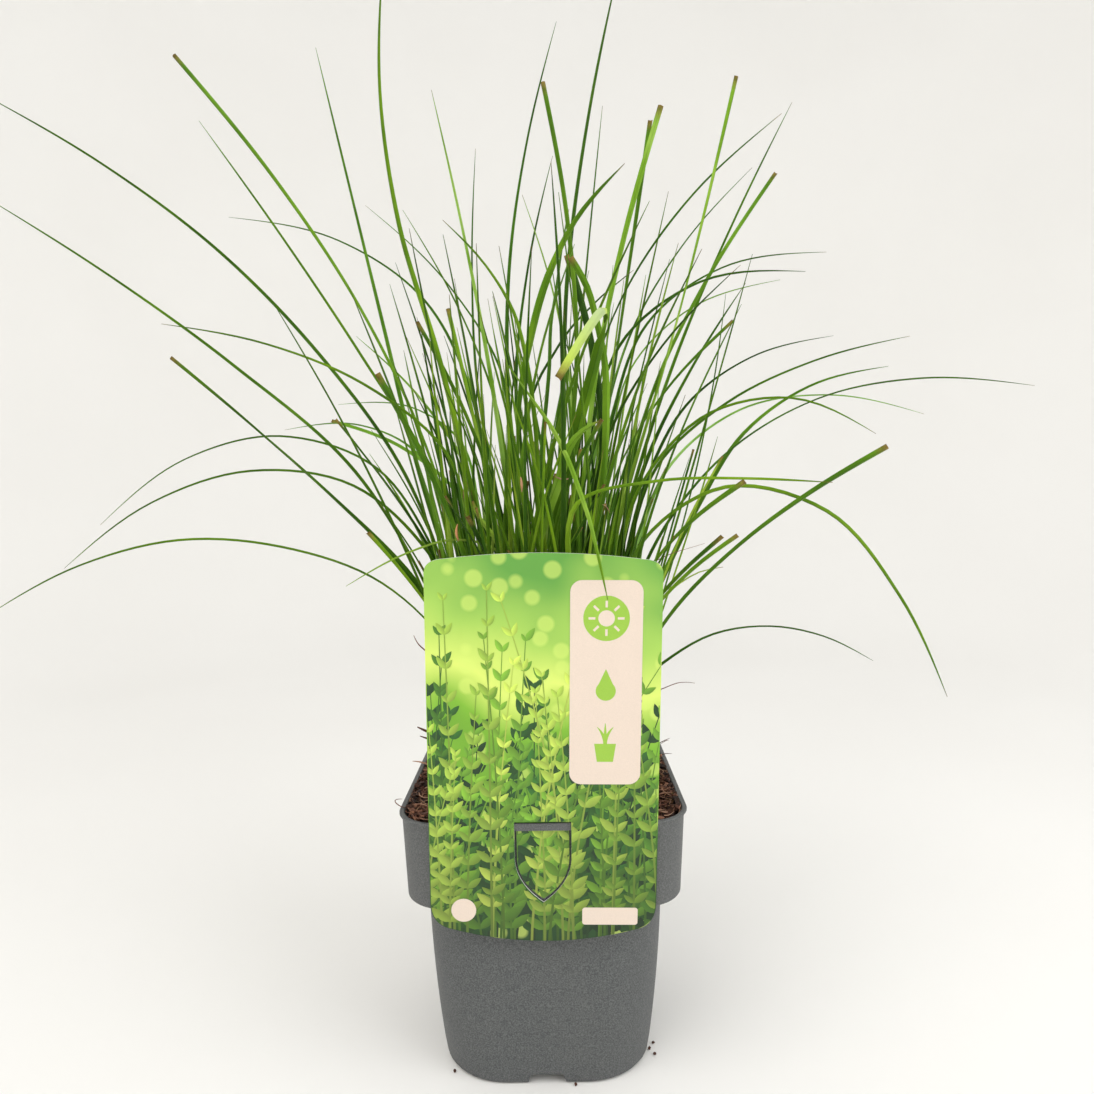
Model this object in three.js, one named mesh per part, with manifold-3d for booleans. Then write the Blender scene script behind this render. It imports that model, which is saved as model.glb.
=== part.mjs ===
// A clump of carex sedge in its square nursery pot, with soil and a hooked card label.
// Millimetres, +Z up. The origin is the middle of the pot's underside, and the label faces -Y.

import * as THREE from 'three';
import { mergeVertices } from 'three/addons/utils/BufferGeometryUtils.js';
import Module from 'manifold-3d';

const wasm = await Module();
wasm.setup();

// ---------------------------------------------------------------- driving dimensions

const GAP = 0.3; // clearance between two pieces that touch in use

// Pot: a tapered body, a wider collar for stacking, and a thin rim turned outwards.
const RIM_WIDTH = 129.4;
const POT_HEIGHT = 130;
const RIM_THICKNESS = 1.2;
const COLLAR_TOP_WIDTH = 127;
const COLLAR_FOOT_WIDTH = 124;
const COLLAR_FOOT_Z = 90;
const COLLAR_BEVEL = 2;
const BODY_TOP_WIDTH = 110.9;
const BODY_MIDDLE_WIDTH = 107.2;
const BODY_MIDDLE_Z = 45;
const BODY_FOOT_WIDTH = 98.6;
const FOOT_BEVEL = 2.5;
const WALL = 1.2;
const RIM_CORNER = 19;
const COLLAR_CORNER = 17.8;
const BODY_CORNER = 30;
const CORNER_STEPS = 4;

// Underside: a drain channel runs in from the middle of each side to a round hole.
const CHANNEL_WIDTH = 18.5;
const CHANNEL_ROOF_WIDTH = 14.5;
const CHANNEL_HEIGHT = 5.2;
const CHANNEL_INNER_END = 19;
const DRAIN_RADIUS = 4;
const DRAIN_PLACE = 26;

// A strap stands off the front of the collar, and the label's tongue hangs in the slot behind it.
const STRAP_WIDTH = 33;
const STRAP_HEIGHT = 3.2;
const STRAP_THICKNESS = 0.9;
const SLOT_WIDTH = 27;
const SLOT_INNER = 62.5; // from the pot's middle to the wall behind the slot

// Soil.
const SOIL_LEVEL = 122;
const SOIL_RELIEF = 1.8;
const SOIL_HEAP = 3.4; // how much higher it stands along the walls
const SOIL_CELLS = 10;

// Label: a thin card that leans on the rim and the collar's lower edge.
const CARD_HALF_WIDTH = 49;
const CARD_TOP_Z = 247.6;
const CARD_FOOT_Z = 76;
const CARD_THICKNESS = 0.7;
const CARD_SIDE_LEAN = THREE.MathUtils.degToRad(1);
const CARD_SHIFT = 0.25;
const TONGUE_THICKNESS = 0.6;
const TONGUE_HALF_WIDTH = 12.2;
const TONGUE_TOP_Z = 131.2;
const TONGUE_SHOULDER_Z = 113.8;
const TONGUE_TIP_Z = 94.2;
const TONGUE_CUT = 0.8;

// Clump: leafy shoots on a spiral, each leaning away from the middle.
const SHOOT_COUNT = 46;
const CLUMP_RADIUS = 36;
const GOLDEN_ANGLE = THREE.MathUtils.degToRad(137.508);
const SHOOT_LEAN = THREE.MathUtils.degToRad(8);
const SHOOT_FOOT_Z = 110;
const SHEATH_LENGTH = 28;
const SHEATH_RADIUS = 3.2;
const SHEATH_SIDES = 6;

// Blades leave a shoot's top in three ranks of three layers, the outer layers splayed the most.
const RANKS = 3;
const LAYERS = 3;
const RANK_TURN = THREE.MathUtils.degToRad(120);
const FIRST_LAYER = 0.6;
const LAYER_STEP = 0.8;
const FIRST_SPLAY = THREE.MathUtils.degToRad(2);
const SPLAY_STEP = THREE.MathUtils.degToRad(5);

// A blade is keeled and three-sided, narrow at its root and thinning towards its tip.
const BLADE_ROOT_SHARE = 0.5;
const TAPER_START = 0.2; // share of the length from which it thins
const TAPER_LOSS = 0.85; // share of the width lost at the tip
const TAPER_POWER = 1.4;
const CROPPED_WIDTH_SHARE = 0.72; // least width of a cropped blade
const BLADE_DEPTH = 0.34; // keel depth as a share of the width
const BLADE_LEAST_DEPTH = 0.7;
const BLADE_SEGMENTS = 5;
const MOST_TURN = THREE.MathUtils.degToRad(28); // between two cross sections
const ROOT_SHARES = [1, 0.97, 0.94, 0.91, 0.88, 0.85, 0.82, 0.79, 0.76, 0.73, 0.7];
const LEAST_TRIANGLE = 0.02;
const CROPPED_END = 1.5; // how far a cropped blade runs on past its last full section

// Seeded blades fill the places that the set ones leave, within these ranges.
const CLUMP_SEED = 20240611;
const SHORTEST = 95;
const LONGEST = 255;
const SHORT_LENGTH = 190; // below this a blade has one segment fewer
const NARROWEST = 1.6;
const WIDEST = 2.8;
const CROPPED_SHARE = 0.4;
const LONGEST_CROPPED = 165;
const TURN_ASIDE = THREE.MathUtils.degToRad(30);
const LEAST_LEAN = THREE.MathUtils.degToRad(3);
const EDGE_LEAN = THREE.MathUtils.degToRad(15); // more lean at the clump's edge
const LAYER_LEAN = THREE.MathUtils.degToRad(4); // more lean for each outer layer
const STRAY_LEAN = THREE.MathUtils.degToRad(45);
const SIDE_LEAN_SHARE = 0.1; // of that lean, to the left and right, which the set blades fill
const MOST_TWIST = 1.2;
const SET_TWIST = 1.2; // most that a set blade turns its face to the front over its length
const BLADE_TRIES = 120;
const BLADE_GAP = 0.06; // least clear space between two blades

// Blades stay this far from the rim, and behind the card where it stands in front of them.
const RIM_CLEARANCE = 4;
const CARD_CLEARANCE = 4;
const CARD_KEEP_OFF_Y = -58;

// ---------------------------------------------------------------- solids and joins

function toSolid(geometry) {
  const bare = geometry.clone();
  bare.deleteAttribute('normal');
  bare.deleteAttribute('uv');
  const merged = mergeVertices(bare, 1e-4);
  const mesh = new wasm.Mesh({
    numProp: 3,
    vertProperties: new Float32Array(merged.attributes.position.array),
    triVerts: new Uint32Array(merged.index.array),
  });
  return new wasm.Manifold(mesh);
}

function toGeometry(solid) {
  const mesh = solid.getMesh();
  const geometry = new THREE.BufferGeometry();
  geometry.setAttribute('position', new THREE.BufferAttribute(mesh.vertProperties, 3));
  geometry.setIndex(new THREE.BufferAttribute(mesh.triVerts, 1));
  geometry.computeVertexNormals();
  return geometry;
}

// Skins a stack of rings that all have the same number of points, anticlockwise from above.
// A last ring of one point closes to a tip.
function loft(rings) {
  const positions = [];
  const index = [];
  const starts = [];
  for (const ring of rings) {
    starts.push(positions.length / 3);
    ring.forEach((point) => positions.push(point.x, point.y, point.z));
  }
  const count = rings[0].length;
  for (let level = 0; level + 1 < rings.length; level += 1) {
    const pointed = rings[level + 1].length === 1;
    for (let i = 0; i < count; i += 1) {
      const a = starts[level] + i;
      const b = starts[level] + ((i + 1) % count);
      const c = starts[level + 1] + (pointed ? 0 : (i + 1) % count);
      index.push(a, b, c);
      if (!pointed) index.push(a, c, starts[level + 1] + i);
    }
  }
  for (let i = 1; i + 1 < count; i += 1) index.push(starts[0], starts[0] + i + 1, starts[0] + i);
  const last = starts[rings.length - 1];
  if (rings[rings.length - 1].length > 1) {
    for (let i = 1; i + 1 < count; i += 1) index.push(last, last + i, last + i + 1);
  }
  const geometry = new THREE.BufferGeometry();
  geometry.setAttribute('position', new THREE.Float32BufferAttribute(positions, 3));
  geometry.setIndex(index);
  return geometry;
}

function box(lowX, highX, lowY, highY, lowZ, highZ) {
  const geometry = new THREE.BoxGeometry(highX - lowX, highY - lowY, highZ - lowZ);
  geometry.translate((lowX + highX) / 2, (lowY + highY) / 2, (lowZ + highZ) / 2);
  return toSolid(geometry);
}

// ---------------------------------------------------------------- seeded draws

// A linear congruential rule on 32 bits, so the clump is the same every time.
function seededDraws(seed) {
  let state = seed;
  return () => {
    state = (Math.imul(state, 1664525) + 1013904223) >>> 0;
    return state / 4294967296;
  };
}

// ---------------------------------------------------------------- pot

function squareRing(width, corner, z) {
  const ring = [];
  const centre = width / 2 - corner;
  const signs = [[1, 1], [-1, 1], [-1, -1], [1, -1]];
  signs.forEach(([signX, signY], quarter) => {
    for (let step = 0; step <= CORNER_STEPS; step += 1) {
      const angle = (quarter + step / CORNER_STEPS) * (Math.PI / 2);
      const x = signX * centre + corner * Math.cos(angle);
      const y = signY * centre + corner * Math.sin(angle);
      ring.push(new THREE.Vector3(x, y, z));
    }
  });
  return ring;
}

// The pot's outer or inner skin, moved in by an inset and cut off at a floor and a top.
function bodySolid(inset, floorZ, topZ) {
  const ring = (width, z) => squareRing(width - 2 * inset, BODY_CORNER - inset, z);
  const rings = [
    ring(BODY_FOOT_WIDTH - 2 * (inset ? 0 : FOOT_BEVEL / 2), floorZ),
    ring(BODY_FOOT_WIDTH + 0.4, floorZ + FOOT_BEVEL),
    ring(BODY_MIDDLE_WIDTH, BODY_MIDDLE_Z),
    ring(BODY_TOP_WIDTH, topZ),
  ];
  return toSolid(loft(rings));
}

// The collar's outer or inner skin. Its lower edge is cut off at 45 degrees, and an inset keeps
// the wall equally thick there.
function collarSolid(inset, topZ) {
  const bevel = COLLAR_BEVEL - (2 - Math.SQRT2) * inset;
  const footZ = COLLAR_FOOT_Z + inset;
  const ring = (width, z) => squareRing(width - 2 * inset, COLLAR_CORNER - inset, z);
  return toSolid(loft([
    ring(COLLAR_FOOT_WIDTH - 2 * bevel, footZ),
    ring(COLLAR_FOOT_WIDTH, footZ + bevel),
    ring(COLLAR_TOP_WIDTH, topZ),
  ]));
}

function rimSolid() {
  const under = POT_HEIGHT - RIM_THICKNESS;
  return toSolid(loft([
    squareRing(RIM_WIDTH, RIM_CORNER, under),
    squareRing(RIM_WIDTH, RIM_CORNER, POT_HEIGHT),
  ]));
}

// A straight run of the drain channel towards +X, with slanted sides.
function channelSolid(inset) {
  const foot = CHANNEL_WIDTH / 2 + inset;
  const roof = CHANNEL_ROOF_WIDTH / 2 + inset;
  const top = CHANNEL_HEIGHT + inset;
  const inner = CHANNEL_INNER_END - inset;
  const outer = RIM_WIDTH / 2;
  const section = (x) => [
    new THREE.Vector3(x, -foot, -1),
    new THREE.Vector3(x, foot, -1),
    new THREE.Vector3(x, roof, top),
    new THREE.Vector3(x, -roof, top),
  ];
  return toSolid(loft([section(inner), section(outer)]));
}

function onFourSides(make) {
  let joined = null;
  for (let side = 0; side < 4; side += 1) {
    const piece = make().rotate([0, 0, 90 * side]);
    joined = joined ? joined.add(piece) : piece;
  }
  return joined;
}

// The pot's inside, or with an inset the soil's outside. Behind the slot its wall steps inwards.
function cavity(inset) {
  const lower = bodySolid(WALL + inset, WALL + inset, COLLAR_FOOT_Z + WALL + 1);
  const upper = collarSolid(WALL + inset, POT_HEIGHT + 1);
  const half = SLOT_WIDTH / 2 + WALL + inset;
  const stepY = -(SLOT_INNER - WALL - inset);
  const step = box(-half, half, -RIM_WIDTH / 2, stepY, COLLAR_FOOT_Z, POT_HEIGHT + 2);
  return lower.add(upper).subtract(step).subtract(onFourSides(() => channelSolid(WALL + inset)));
}

function strapSolid() {
  const half = STRAP_WIDTH / 2;
  const innerY = -(COLLAR_TOP_WIDTH / 2 - WALL / 2);
  return box(-half, half, -RIM_WIDTH / 2, innerY, POT_HEIGHT - STRAP_HEIGHT, POT_HEIGHT);
}

function slotSolid() {
  const half = SLOT_WIDTH / 2;
  const outerY = -(RIM_WIDTH / 2 - STRAP_THICKNESS);
  return box(-half, half, outerY, -SLOT_INNER, COLLAR_FOOT_Z + COLLAR_BEVEL, POT_HEIGHT + 1);
}

function drainHole() {
  const geometry = new THREE.CylinderGeometry(DRAIN_RADIUS, DRAIN_RADIUS, 4 * CHANNEL_HEIGHT, 10);
  geometry.rotateX(Math.PI / 2);
  geometry.translate(DRAIN_PLACE, 0, 0);
  return toSolid(geometry);
}

function potSolid() {
  const outside = bodySolid(0, 0, COLLAR_FOOT_Z)
    .add(collarSolid(0, POT_HEIGHT))
    .add(rimSolid())
    .add(strapSolid());
  return outside
    .subtract(cavity(0))
    .subtract(onFourSides(() => channelSolid(0)))
    .subtract(onFourSides(drainHole))
    .subtract(slotSolid());
}

// ---------------------------------------------------------------- label

// Where the card's back face lies: it rests on the strap and on the collar's lower edge.
const CARD_REST_Z = POT_HEIGHT - STRAP_HEIGHT / 2;
const CARD_REST_Y = -(RIM_WIDTH / 2 + GAP);
const CARD_LOW_Y = -(COLLAR_FOOT_WIDTH / 2 + GAP);
const CARD_LEAN = Math.atan((CARD_LOW_Y - CARD_REST_Y) / (CARD_REST_Z - COLLAR_FOOT_Z));

function cardOutline() {
  const side = CARD_HALF_WIDTH;
  const top = CARD_TOP_Z - CARD_REST_Z;
  const foot = CARD_FOOT_Z - CARD_REST_Z;
  const shape = new THREE.Shape();
  shape.moveTo(-side, foot + 18);
  shape.quadraticCurveTo(-side, foot + 7.5, -side + 9, foot + 5.5);
  shape.quadraticCurveTo(0, foot - 5.5, side - 9, foot + 5.5);
  shape.quadraticCurveTo(side, foot + 7.5, side, foot + 18);
  shape.lineTo(side, top - 9);
  shape.quadraticCurveTo(side, top - 3, side - 8, top - 2.6);
  shape.quadraticCurveTo(0, top + 2.6, -side + 8, top - 2.6);
  shape.quadraticCurveTo(-side, top - 3, -side, top - 9);
  return shape;
}

// The shield-shaped cut, drawn in on all sides by an inset.
function shieldOutline(inset, topZ) {
  const half = TONGUE_HALF_WIDTH - inset;
  const shape = new THREE.Shape();
  shape.moveTo(-half, topZ);
  shape.lineTo(-half, TONGUE_SHOULDER_Z);
  shape.quadraticCurveTo(-half + 0.6, TONGUE_SHOULDER_Z - 11, 0, TONGUE_TIP_Z + 2 * inset);
  shape.quadraticCurveTo(half - 0.6, TONGUE_SHOULDER_Z - 11, half, TONGUE_SHOULDER_Z);
  shape.lineTo(half, topZ);
  return shape;
}

// Stands an outline drawn in X and Z upright, from one Y to a smaller one.
function uprightSlab(shape, backY, depth) {
  const geometry = new THREE.ExtrudeGeometry(shape, { depth, bevelEnabled: false, curveSegments: 5 });
  geometry.rotateX(Math.PI / 2);
  geometry.translate(0, backY, 0);
  return toSolid(geometry);
}

function placeCard(solid) {
  return solid
    .rotate([THREE.MathUtils.radToDeg(CARD_LEAN), THREE.MathUtils.radToDeg(CARD_SIDE_LEAN), 0])
    .translate([CARD_SHIFT, CARD_REST_Y, CARD_REST_Z]);
}

// The tongue bends back over the strap and hangs in the slot, in front of the collar.
function tongueSolid() {
  const wallY = (z) => {
    const share = (z - COLLAR_FOOT_Z) / (POT_HEIGHT - COLLAR_FOOT_Z);
    const half = (COLLAR_FOOT_WIDTH + share * (COLLAR_TOP_WIDTH - COLLAR_FOOT_WIDTH)) / 2;
    return -Math.min(half, SLOT_INNER);
  };
  const standOff = 0.65;
  const bendZ = POT_HEIGHT + 0.75;
  const footZ = TONGUE_TIP_Z + 3;
  const middle = [
    new THREE.Vector2(CARD_REST_Y - 0.55, POT_HEIGHT + 3.2),
    new THREE.Vector2(wallY(bendZ) - standOff, bendZ),
    new THREE.Vector2(wallY(footZ) - standOff, footZ),
  ];
  const half = TONGUE_THICKNESS / 2;
  const front = [];
  const back = [];
  middle.forEach((point, i) => {
    const before = middle[Math.max(i - 1, 0)];
    const after = middle[Math.min(i + 1, middle.length - 1)];
    const along = after.clone().sub(before).normalize();
    front.push(new THREE.Vector2(point.x + along.y * half, point.y - along.x * half));
    back.push(new THREE.Vector2(point.x - along.y * half, point.y + along.x * half));
  });
  const outline = front.concat(back.reverse());
  const ring = (x) => outline.map((point) => new THREE.Vector3(x, point.x, point.y));
  const strip = toSolid(loft([ring(-TONGUE_HALF_WIDTH), ring(TONGUE_HALF_WIDTH)]));
  const cut = uprightSlab(shieldOutline(TONGUE_CUT, POT_HEIGHT + 10), -RIM_WIDTH / 2 + 20, 40);
  return strip.intersect(cut);
}

function labelSolid() {
  const card = placeCard(uprightSlab(cardOutline(), 0, CARD_THICKNESS));
  const cut = uprightSlab(shieldOutline(0, TONGUE_TOP_Z), -RIM_WIDTH / 2 + 20, 40);
  return card.subtract(cut).add(tongueSolid());
}

// ---------------------------------------------------------------- shoots and blades

// Blades set by hand: first the broad ones over the middle, then the others from left to right.
// Each row: width, 1 for a cropped tip or 0 for a fine one, then points on the way to the tip.
const SET_BLADES = [
  [5.6, 1, [11, -24, 272], [17, -34, 296], [23, -46, 318], [27, -58, 333], [30, -68, 343], [10, -98, 314]],
  [4.2, 1, [29, -26, 267], [31, -36, 306], [30, -44, 328], [26, -52, 345], [22, -60, 356], [15, -68, 366]],
  [5.0, 0, [-10, -26, 282], [-8, -31, 313], [-3, -35, 337], [6, -39, 366], [18, -43, 388], [39, -50, 409]],
  [4.2, 0, [1, -30, 247], [5, -36, 263], [10, -42, 278], [14, -46, 291], [20, -50, 298], [28, -54, 302]],
  [2.4, 0, [0, -26, 268], [-1, -34, 304], [-4, -40, 329], [-9, -46, 349], [-20, -53, 367], [-37, -60, 384]],
  [3.4, 0, [-26, -16, 242], [-45, -25, 335], [-65, -35, 419], [-61, -45, 498]],
  [2.8, 0, [-57, 25, 258], [-88, 43, 384], [-119, 60, 515]],
  [2.6, 1, [-46, -6, 269], [-95, -11, 381], [-164, -15, 474]],
  [2.6, 0, [-42, -4, 258], [-96, -7, 357], [-156, -10, 447]],
  [3.0, 0, [-52, 3, 249], [-108, 6, 341], [-183, 8, 415], [-273, 10, 472]],
  [2.8, 0, [-78, 12, 263], [-177, 21, 355], [-288, 30, 430]],
  [2.2, 0, [-27, -21, 221], [-42, -34, 291], [-95, -47, 330], [-155, -60, 344]],
  [3.4, 1, [-53, -23, 223], [-103, -39, 282], [-154, -55, 331]],
  [2.6, 0, [-31, 50, 227], [-39, 83, 324], [-94, 117, 415], [-205, 150, 455]],
  [2.2, 0, [-20, 63, 242], [-28, 106, 360], [-114, 150, 461]],
  [2.0, 0, [-15, 25, 236], [-27, 43, 334], [-74, 60, 428]],
  [3.0, 0, [-15, 21, 254], [-31, 36, 369], [-55, 50, 487]],
  [2.4, 0, [-21, 71, 242], [-42, 121, 364], [-42, 170, 504]],
  [2.8, 0, [-9, 28, 233], [-17, 45, 332], [-11, 63, 434], [13, 80, 537]],
  [2.6, 1, [11, -13, 253], [19, -21, 357], [5, -30, 452]],
  [2.8, 0, [-6, 46, 242], [-13, 78, 355], [10, 110, 475]],
  [2.0, 0, [9, 17, 235], [17, 28, 332], [-7, 40, 428]],
  [3.2, 0, [11, -4, 275], [18, -7, 401], [42, -10, 517]],
  [2.0, 0, [13, 29, 250], [24, 50, 365], [38, 70, 486]],
  [4.2, 1, [20, -8, 225], [31, -14, 306], [15, -20, 380]],
  [3.2, 1, [19, -13, 250], [32, -21, 351], [57, -30, 441]],
  [3.2, 1, [25, 17, 247], [43, 28, 355], [61, 40, 465]],
  [2.2, 0, [25, 4, 235], [45, 7, 328], [66, 10, 418]],
  [3.2, 1, [37, -17, 254], [66, -28, 356], [88, -40, 448]],
  [2.6, 0, [44, 29, 254], [86, 50, 370], [144, 70, 486]],
  [2.6, 1, [37, 17, 243], [69, 28, 345], [127, 40, 437]],
  [2.4, 0, [18, -7, 230], [23, -11, 315], [56, -16, 388], [113, -20, 441]],
  [2.2, 0, [27, 49, 218], [37, 79, 306], [71, 110, 396], [139, 140, 477]],
  [2.6, 0, [31, 35, 221], [40, 56, 308], [81, 78, 388], [174, 100, 412]],
  [2.8, 0, [21, -7, 221], [25, -11, 298], [57, -16, 361], [126, -20, 372]],
  [2.2, 0, [29, 42, 211], [39, 68, 288], [69, 94, 366], [152, 120, 401]],
  [2.2, 0, [21, -17, 232], [39, -28, 312], [90, -40, 369]],
  [3.2, 0, [38, 25, 222], [66, 43, 306], [116, 60, 385]],
  [2.6, 1, [25, -13, 221], [43, -21, 295], [90, -30, 348]],
  [2.8, 0, [41, 51, 203], [62, 84, 274], [110, 117, 342], [196, 150, 371]],
  [2.6, 0, [40, 14, 213], [61, 23, 283], [122, 31, 329], [199, 40, 351]],
  [3.4, 0, [52, 21, 200], [84, 34, 261], [128, 47, 317], [196, 60, 338]],
  [2.6, 0, [49, 20, 221], [98, 33, 289], [180, 47, 328], [278, 60, 326]],
  [2.4, 0, [46, 51, 208], [76, 88, 283], [155, 124, 330], [262, 160, 319]],
  [2.6, 0, [32, -14, 211], [49, -23, 276], [97, -31, 314], [150, -40, 295]],
  [3.4, 1, [56, -21, 206], [101, -36, 255], [151, -50, 289]],
  [3.6, 0, [38, -12, 207], [60, -19, 263], [117, -26, 270], [159, -33, 230], [184, -40, 176]],
  [2.6, 0, [15, -38, 209], [17, -62, 267], [65, -86, 276], [107, -110, 274]],
  [2.0, 0, [50, 3, 175], [87, 6, 198], [131, 8, 200], [170, 10, 182]],
  [2.0, 0, [-16, -22, 237], [-43, -47, 251], [-76, -84, 236]],
  [2.0, 0, [-58, -7, 214], [-125, -11, 247], [-197, -16, 248], [-264, -20, 217]],
  [2.2, 0, [-43, 0, 221], [-92, 0, 276], [-169, 0, 280], [-238, 0, 237]],
  [2.0, 0, [-47, 20, 217], [-87, 33, 285], [-171, 47, 303], [-252, 60, 256]],
  [3.0, 1, [6, -29, 203], [8, -50, 260], [27, -70, 301]],
  [2.4, 1, [-14, -8, 217], [-26, -14, 289], [-55, -20, 351]],
  [2.8, 1, [-15, 0, 217], [-28, 0, 290], [-43, 0, 361]],
  [3.4, 1, [-26, -17, 209], [-45, -28, 271], [-70, -40, 325]],
  [3.0, 1, [-34, -8, 202], [-60, -14, 258], [-94, -20, 307]],
  [3.0, 0, [-29, 38, 215], [-47, 64, 297], [-109, 90, 365]],
  [2.8, 0, [-38, 57, 192], [-58, 95, 254], [-96, 132, 311], [-180, 170, 316]],
  [3.0, 1, [-34, 46, 205], [-54, 78, 279], [-131, 110, 317]],
  [2.6, 0, [-28, 65, 193], [-39, 106, 256], [-66, 148, 321], [-147, 190, 335]],
  [2.6, 1, [-31, -25, 184], [-51, -43, 224], [-72, -60, 256]],
  [2.8, 1, [36, -17, 183], [58, -28, 223], [89, -40, 251]],
  [2.6, 1, [32, -25, 184], [52, -43, 223], [78, -60, 252]],
  [3.4, 1, [34, -19, 194], [55, -32, 243], [91, -45, 275]],
];

function makeShoots(draw) {
  const shoots = [];
  for (let i = 0; i < SHOOT_COUNT; i += 1) {
    const reach = Math.sqrt((i + 0.5) / SHOOT_COUNT);
    const turn = i * GOLDEN_ANGLE;
    const lean = SHOOT_LEAN * reach * (0.85 + 0.3 * draw());
    const sheath = SHEATH_LENGTH * (0.8 + 0.4 * draw());
    const out = new THREE.Vector3(Math.cos(turn), Math.sin(turn), 0);
    const foot = out.clone().multiplyScalar(CLUMP_RADIUS * reach).setZ(SOIL_LEVEL);
    // The shoot's own frame: along it, away from the clump across it, and sideways.
    const axis = out.clone().multiplyScalar(Math.sin(lean)).setZ(Math.cos(lean));
    const front = out.clone().multiplyScalar(Math.cos(lean)).setZ(-Math.sin(lean));
    const side = new THREE.Vector3(-Math.sin(turn), Math.cos(turn), 0);
    const slots = [];
    for (let layer = LAYERS - 1; layer >= 0; layer -= 1) {
      for (let rank = 0; rank < RANKS; rank += 1) slots.push({ rank, layer });
    }
    shoots.push({ foot, axis, front, side, turn, reach, sheath, slots, blades: [] });
  }
  return shoots;
}

// A point in a shoot's frame: a distance above the soil, and steps forwards and sideways.
function shootPoint(shoot, distance, forwards, sideways) {
  return shoot.foot.clone()
    .addScaledVector(shoot.axis, distance)
    .addScaledVector(shoot.front, forwards)
    .addScaledVector(shoot.side, sideways);
}

const rankAngle = (slot) => (slot.rank - 1) * RANK_TURN;

// Where a blade starts, on the shoot's top, out from its middle by its layer.
function bladeRoot(shoot, slot) {
  const out = FIRST_LAYER + LAYER_STEP * slot.layer;
  const angle = rankAngle(slot);
  return shootPoint(shoot, shoot.sheath, Math.cos(angle) * out, Math.sin(angle) * out);
}

// Share of the full width at a point from 0, the root, to 1, the tip.
function widthShare(u, cropped) {
  const root = Math.min(1, BLADE_ROOT_SHARE + 1.4 * u);
  const taper = 1 - TAPER_LOSS * Math.max(0, (u - TAPER_START) / (1 - TAPER_START)) ** TAPER_POWER;
  return root * (cropped ? Math.max(taper, CROPPED_WIDTH_SHARE) : taper);
}

// A blade's cross sections: where each lies, how it is turned, and how wide and deep it is. At
// its root a blade faces as its rank does, and on the way up it turns its keel outwards and down.
function addSections(blade, shoot) {
  const { points } = blade;
  const last = points.length - 1;
  const away = new THREE.Vector3(points[last].x - points[0].x, points[last].y - points[0].y, 0);
  if (away.length() < 12) away.set(Math.cos(shoot.turn), Math.sin(shoot.turn), 0);
  away.normalize();
  const up = new THREE.Vector3(0, 0, 1);
  const rank = rankAngle(blade.slot);
  const across = shoot.side.clone()
    .multiplyScalar(Math.cos(rank))
    .addScaledVector(shoot.front, -Math.sin(rank));
  blade.sections = points.map((centre, i) => {
    const along = shoot.axis.clone();
    if (i > 0) {
      along.subVectors(points[Math.min(i + 1, last)], points[i - 1]).normalize();
      const face = up.clone().multiplyScalar(along.dot(away)).addScaledVector(away, -along.dot(up));
      const wanted = face.cross(along).normalize().applyAxisAngle(along, blade.twist * i / last);
      across.addScaledVector(along, -across.dot(along)).normalize();
      const turn = Math.atan2(along.dot(across.clone().cross(wanted)), across.dot(wanted));
      across.applyAxisAngle(along, THREE.MathUtils.clamp(turn, -MOST_TURN, MOST_TURN));
    }
    const half = blade.width * widthShare(i / last, blade.cropped) / 2;
    const depth = Math.max(BLADE_LEAST_DEPTH, 2 * BLADE_DEPTH * half);
    return { centre, across: across.clone(), keelward: across.clone().cross(along), half, depth };
  });
  return blade;
}

// The blade's rings: left edge, keel and right edge, and one point at the tip. A cropped blade
// keeps its last full ring and ends just past it.
function bladeRings(blade) {
  const sections = blade.cropped ? blade.sections : blade.sections.slice(0, -1);
  const rings = sections.map(({ centre, across, keelward, half, depth }) => [
    centre.clone().addScaledVector(across, -half),
    centre.clone().addScaledVector(keelward, depth),
    centre.clone().addScaledVector(across, half),
  ]);
  const [before, end] = blade.sections.slice(-2).map(({ centre }) => centre);
  const tip = end.clone();
  if (blade.cropped) tip.addScaledVector(end.clone().sub(before).normalize(), CROPPED_END);
  rings.push([tip]);
  return rings;
}

// A convex piece between two rings of points: a stretch of a blade, or a sheath.
function makePiece(lower, upper, shootIndex) {
  const corners = [...lower, ...upper];
  const edges = [];
  const facings = [];
  lower.forEach((point, i) => {
    const next = lower[(i + 1) % lower.length];
    const above = upper[i % upper.length];
    const aboveNext = upper[(i + 1) % upper.length];
    const edge = above.clone().sub(point).normalize();
    edges.push(edge);
    facings.push(next.clone().sub(point).cross(edge).normalize());
    facings.push(aboveNext.clone().sub(next).cross(above.clone().sub(next)).normalize());
  });
  const box = new THREE.Box3().setFromPoints(corners).expandByScalar(BLADE_GAP / 2);
  return { corners, edges, facings, box, shootIndex };
}

function gapAlong(axis, one, other) {
  let [lowOne, highOne, lowOther, highOther] = [Infinity, -Infinity, Infinity, -Infinity];
  for (const corner of one.corners) {
    const height = axis.dot(corner);
    lowOne = Math.min(lowOne, height);
    highOne = Math.max(highOne, height);
  }
  for (const corner of other.corners) {
    const height = axis.dot(corner);
    lowOther = Math.min(lowOther, height);
    highOther = Math.max(highOther, height);
  }
  return Math.max(lowOther - highOne, lowOne - highOther);
}

// Two pieces are clear where some plane with the gap on it passes between them.
function areClear(one, other) {
  const parts = (axis) => gapAlong(axis, one, other) >= BLADE_GAP;
  if (one.facings.some(parts) || other.facings.some(parts)) return true;
  const across = new THREE.Vector3();
  for (const edge of one.edges) {
    for (const otherEdge of other.edges) {
      across.crossVectors(edge, otherEdge);
      if (across.length() > 1e-4 && parts(across.normalize())) return true;
    }
  }
  return false;
}

function bladePieces(blade, shootIndex) {
  const rings = bladeRings(blade);
  return rings.slice(1).map((ring, i) => makePiece(rings[i], ring, shootIndex));
}

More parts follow.
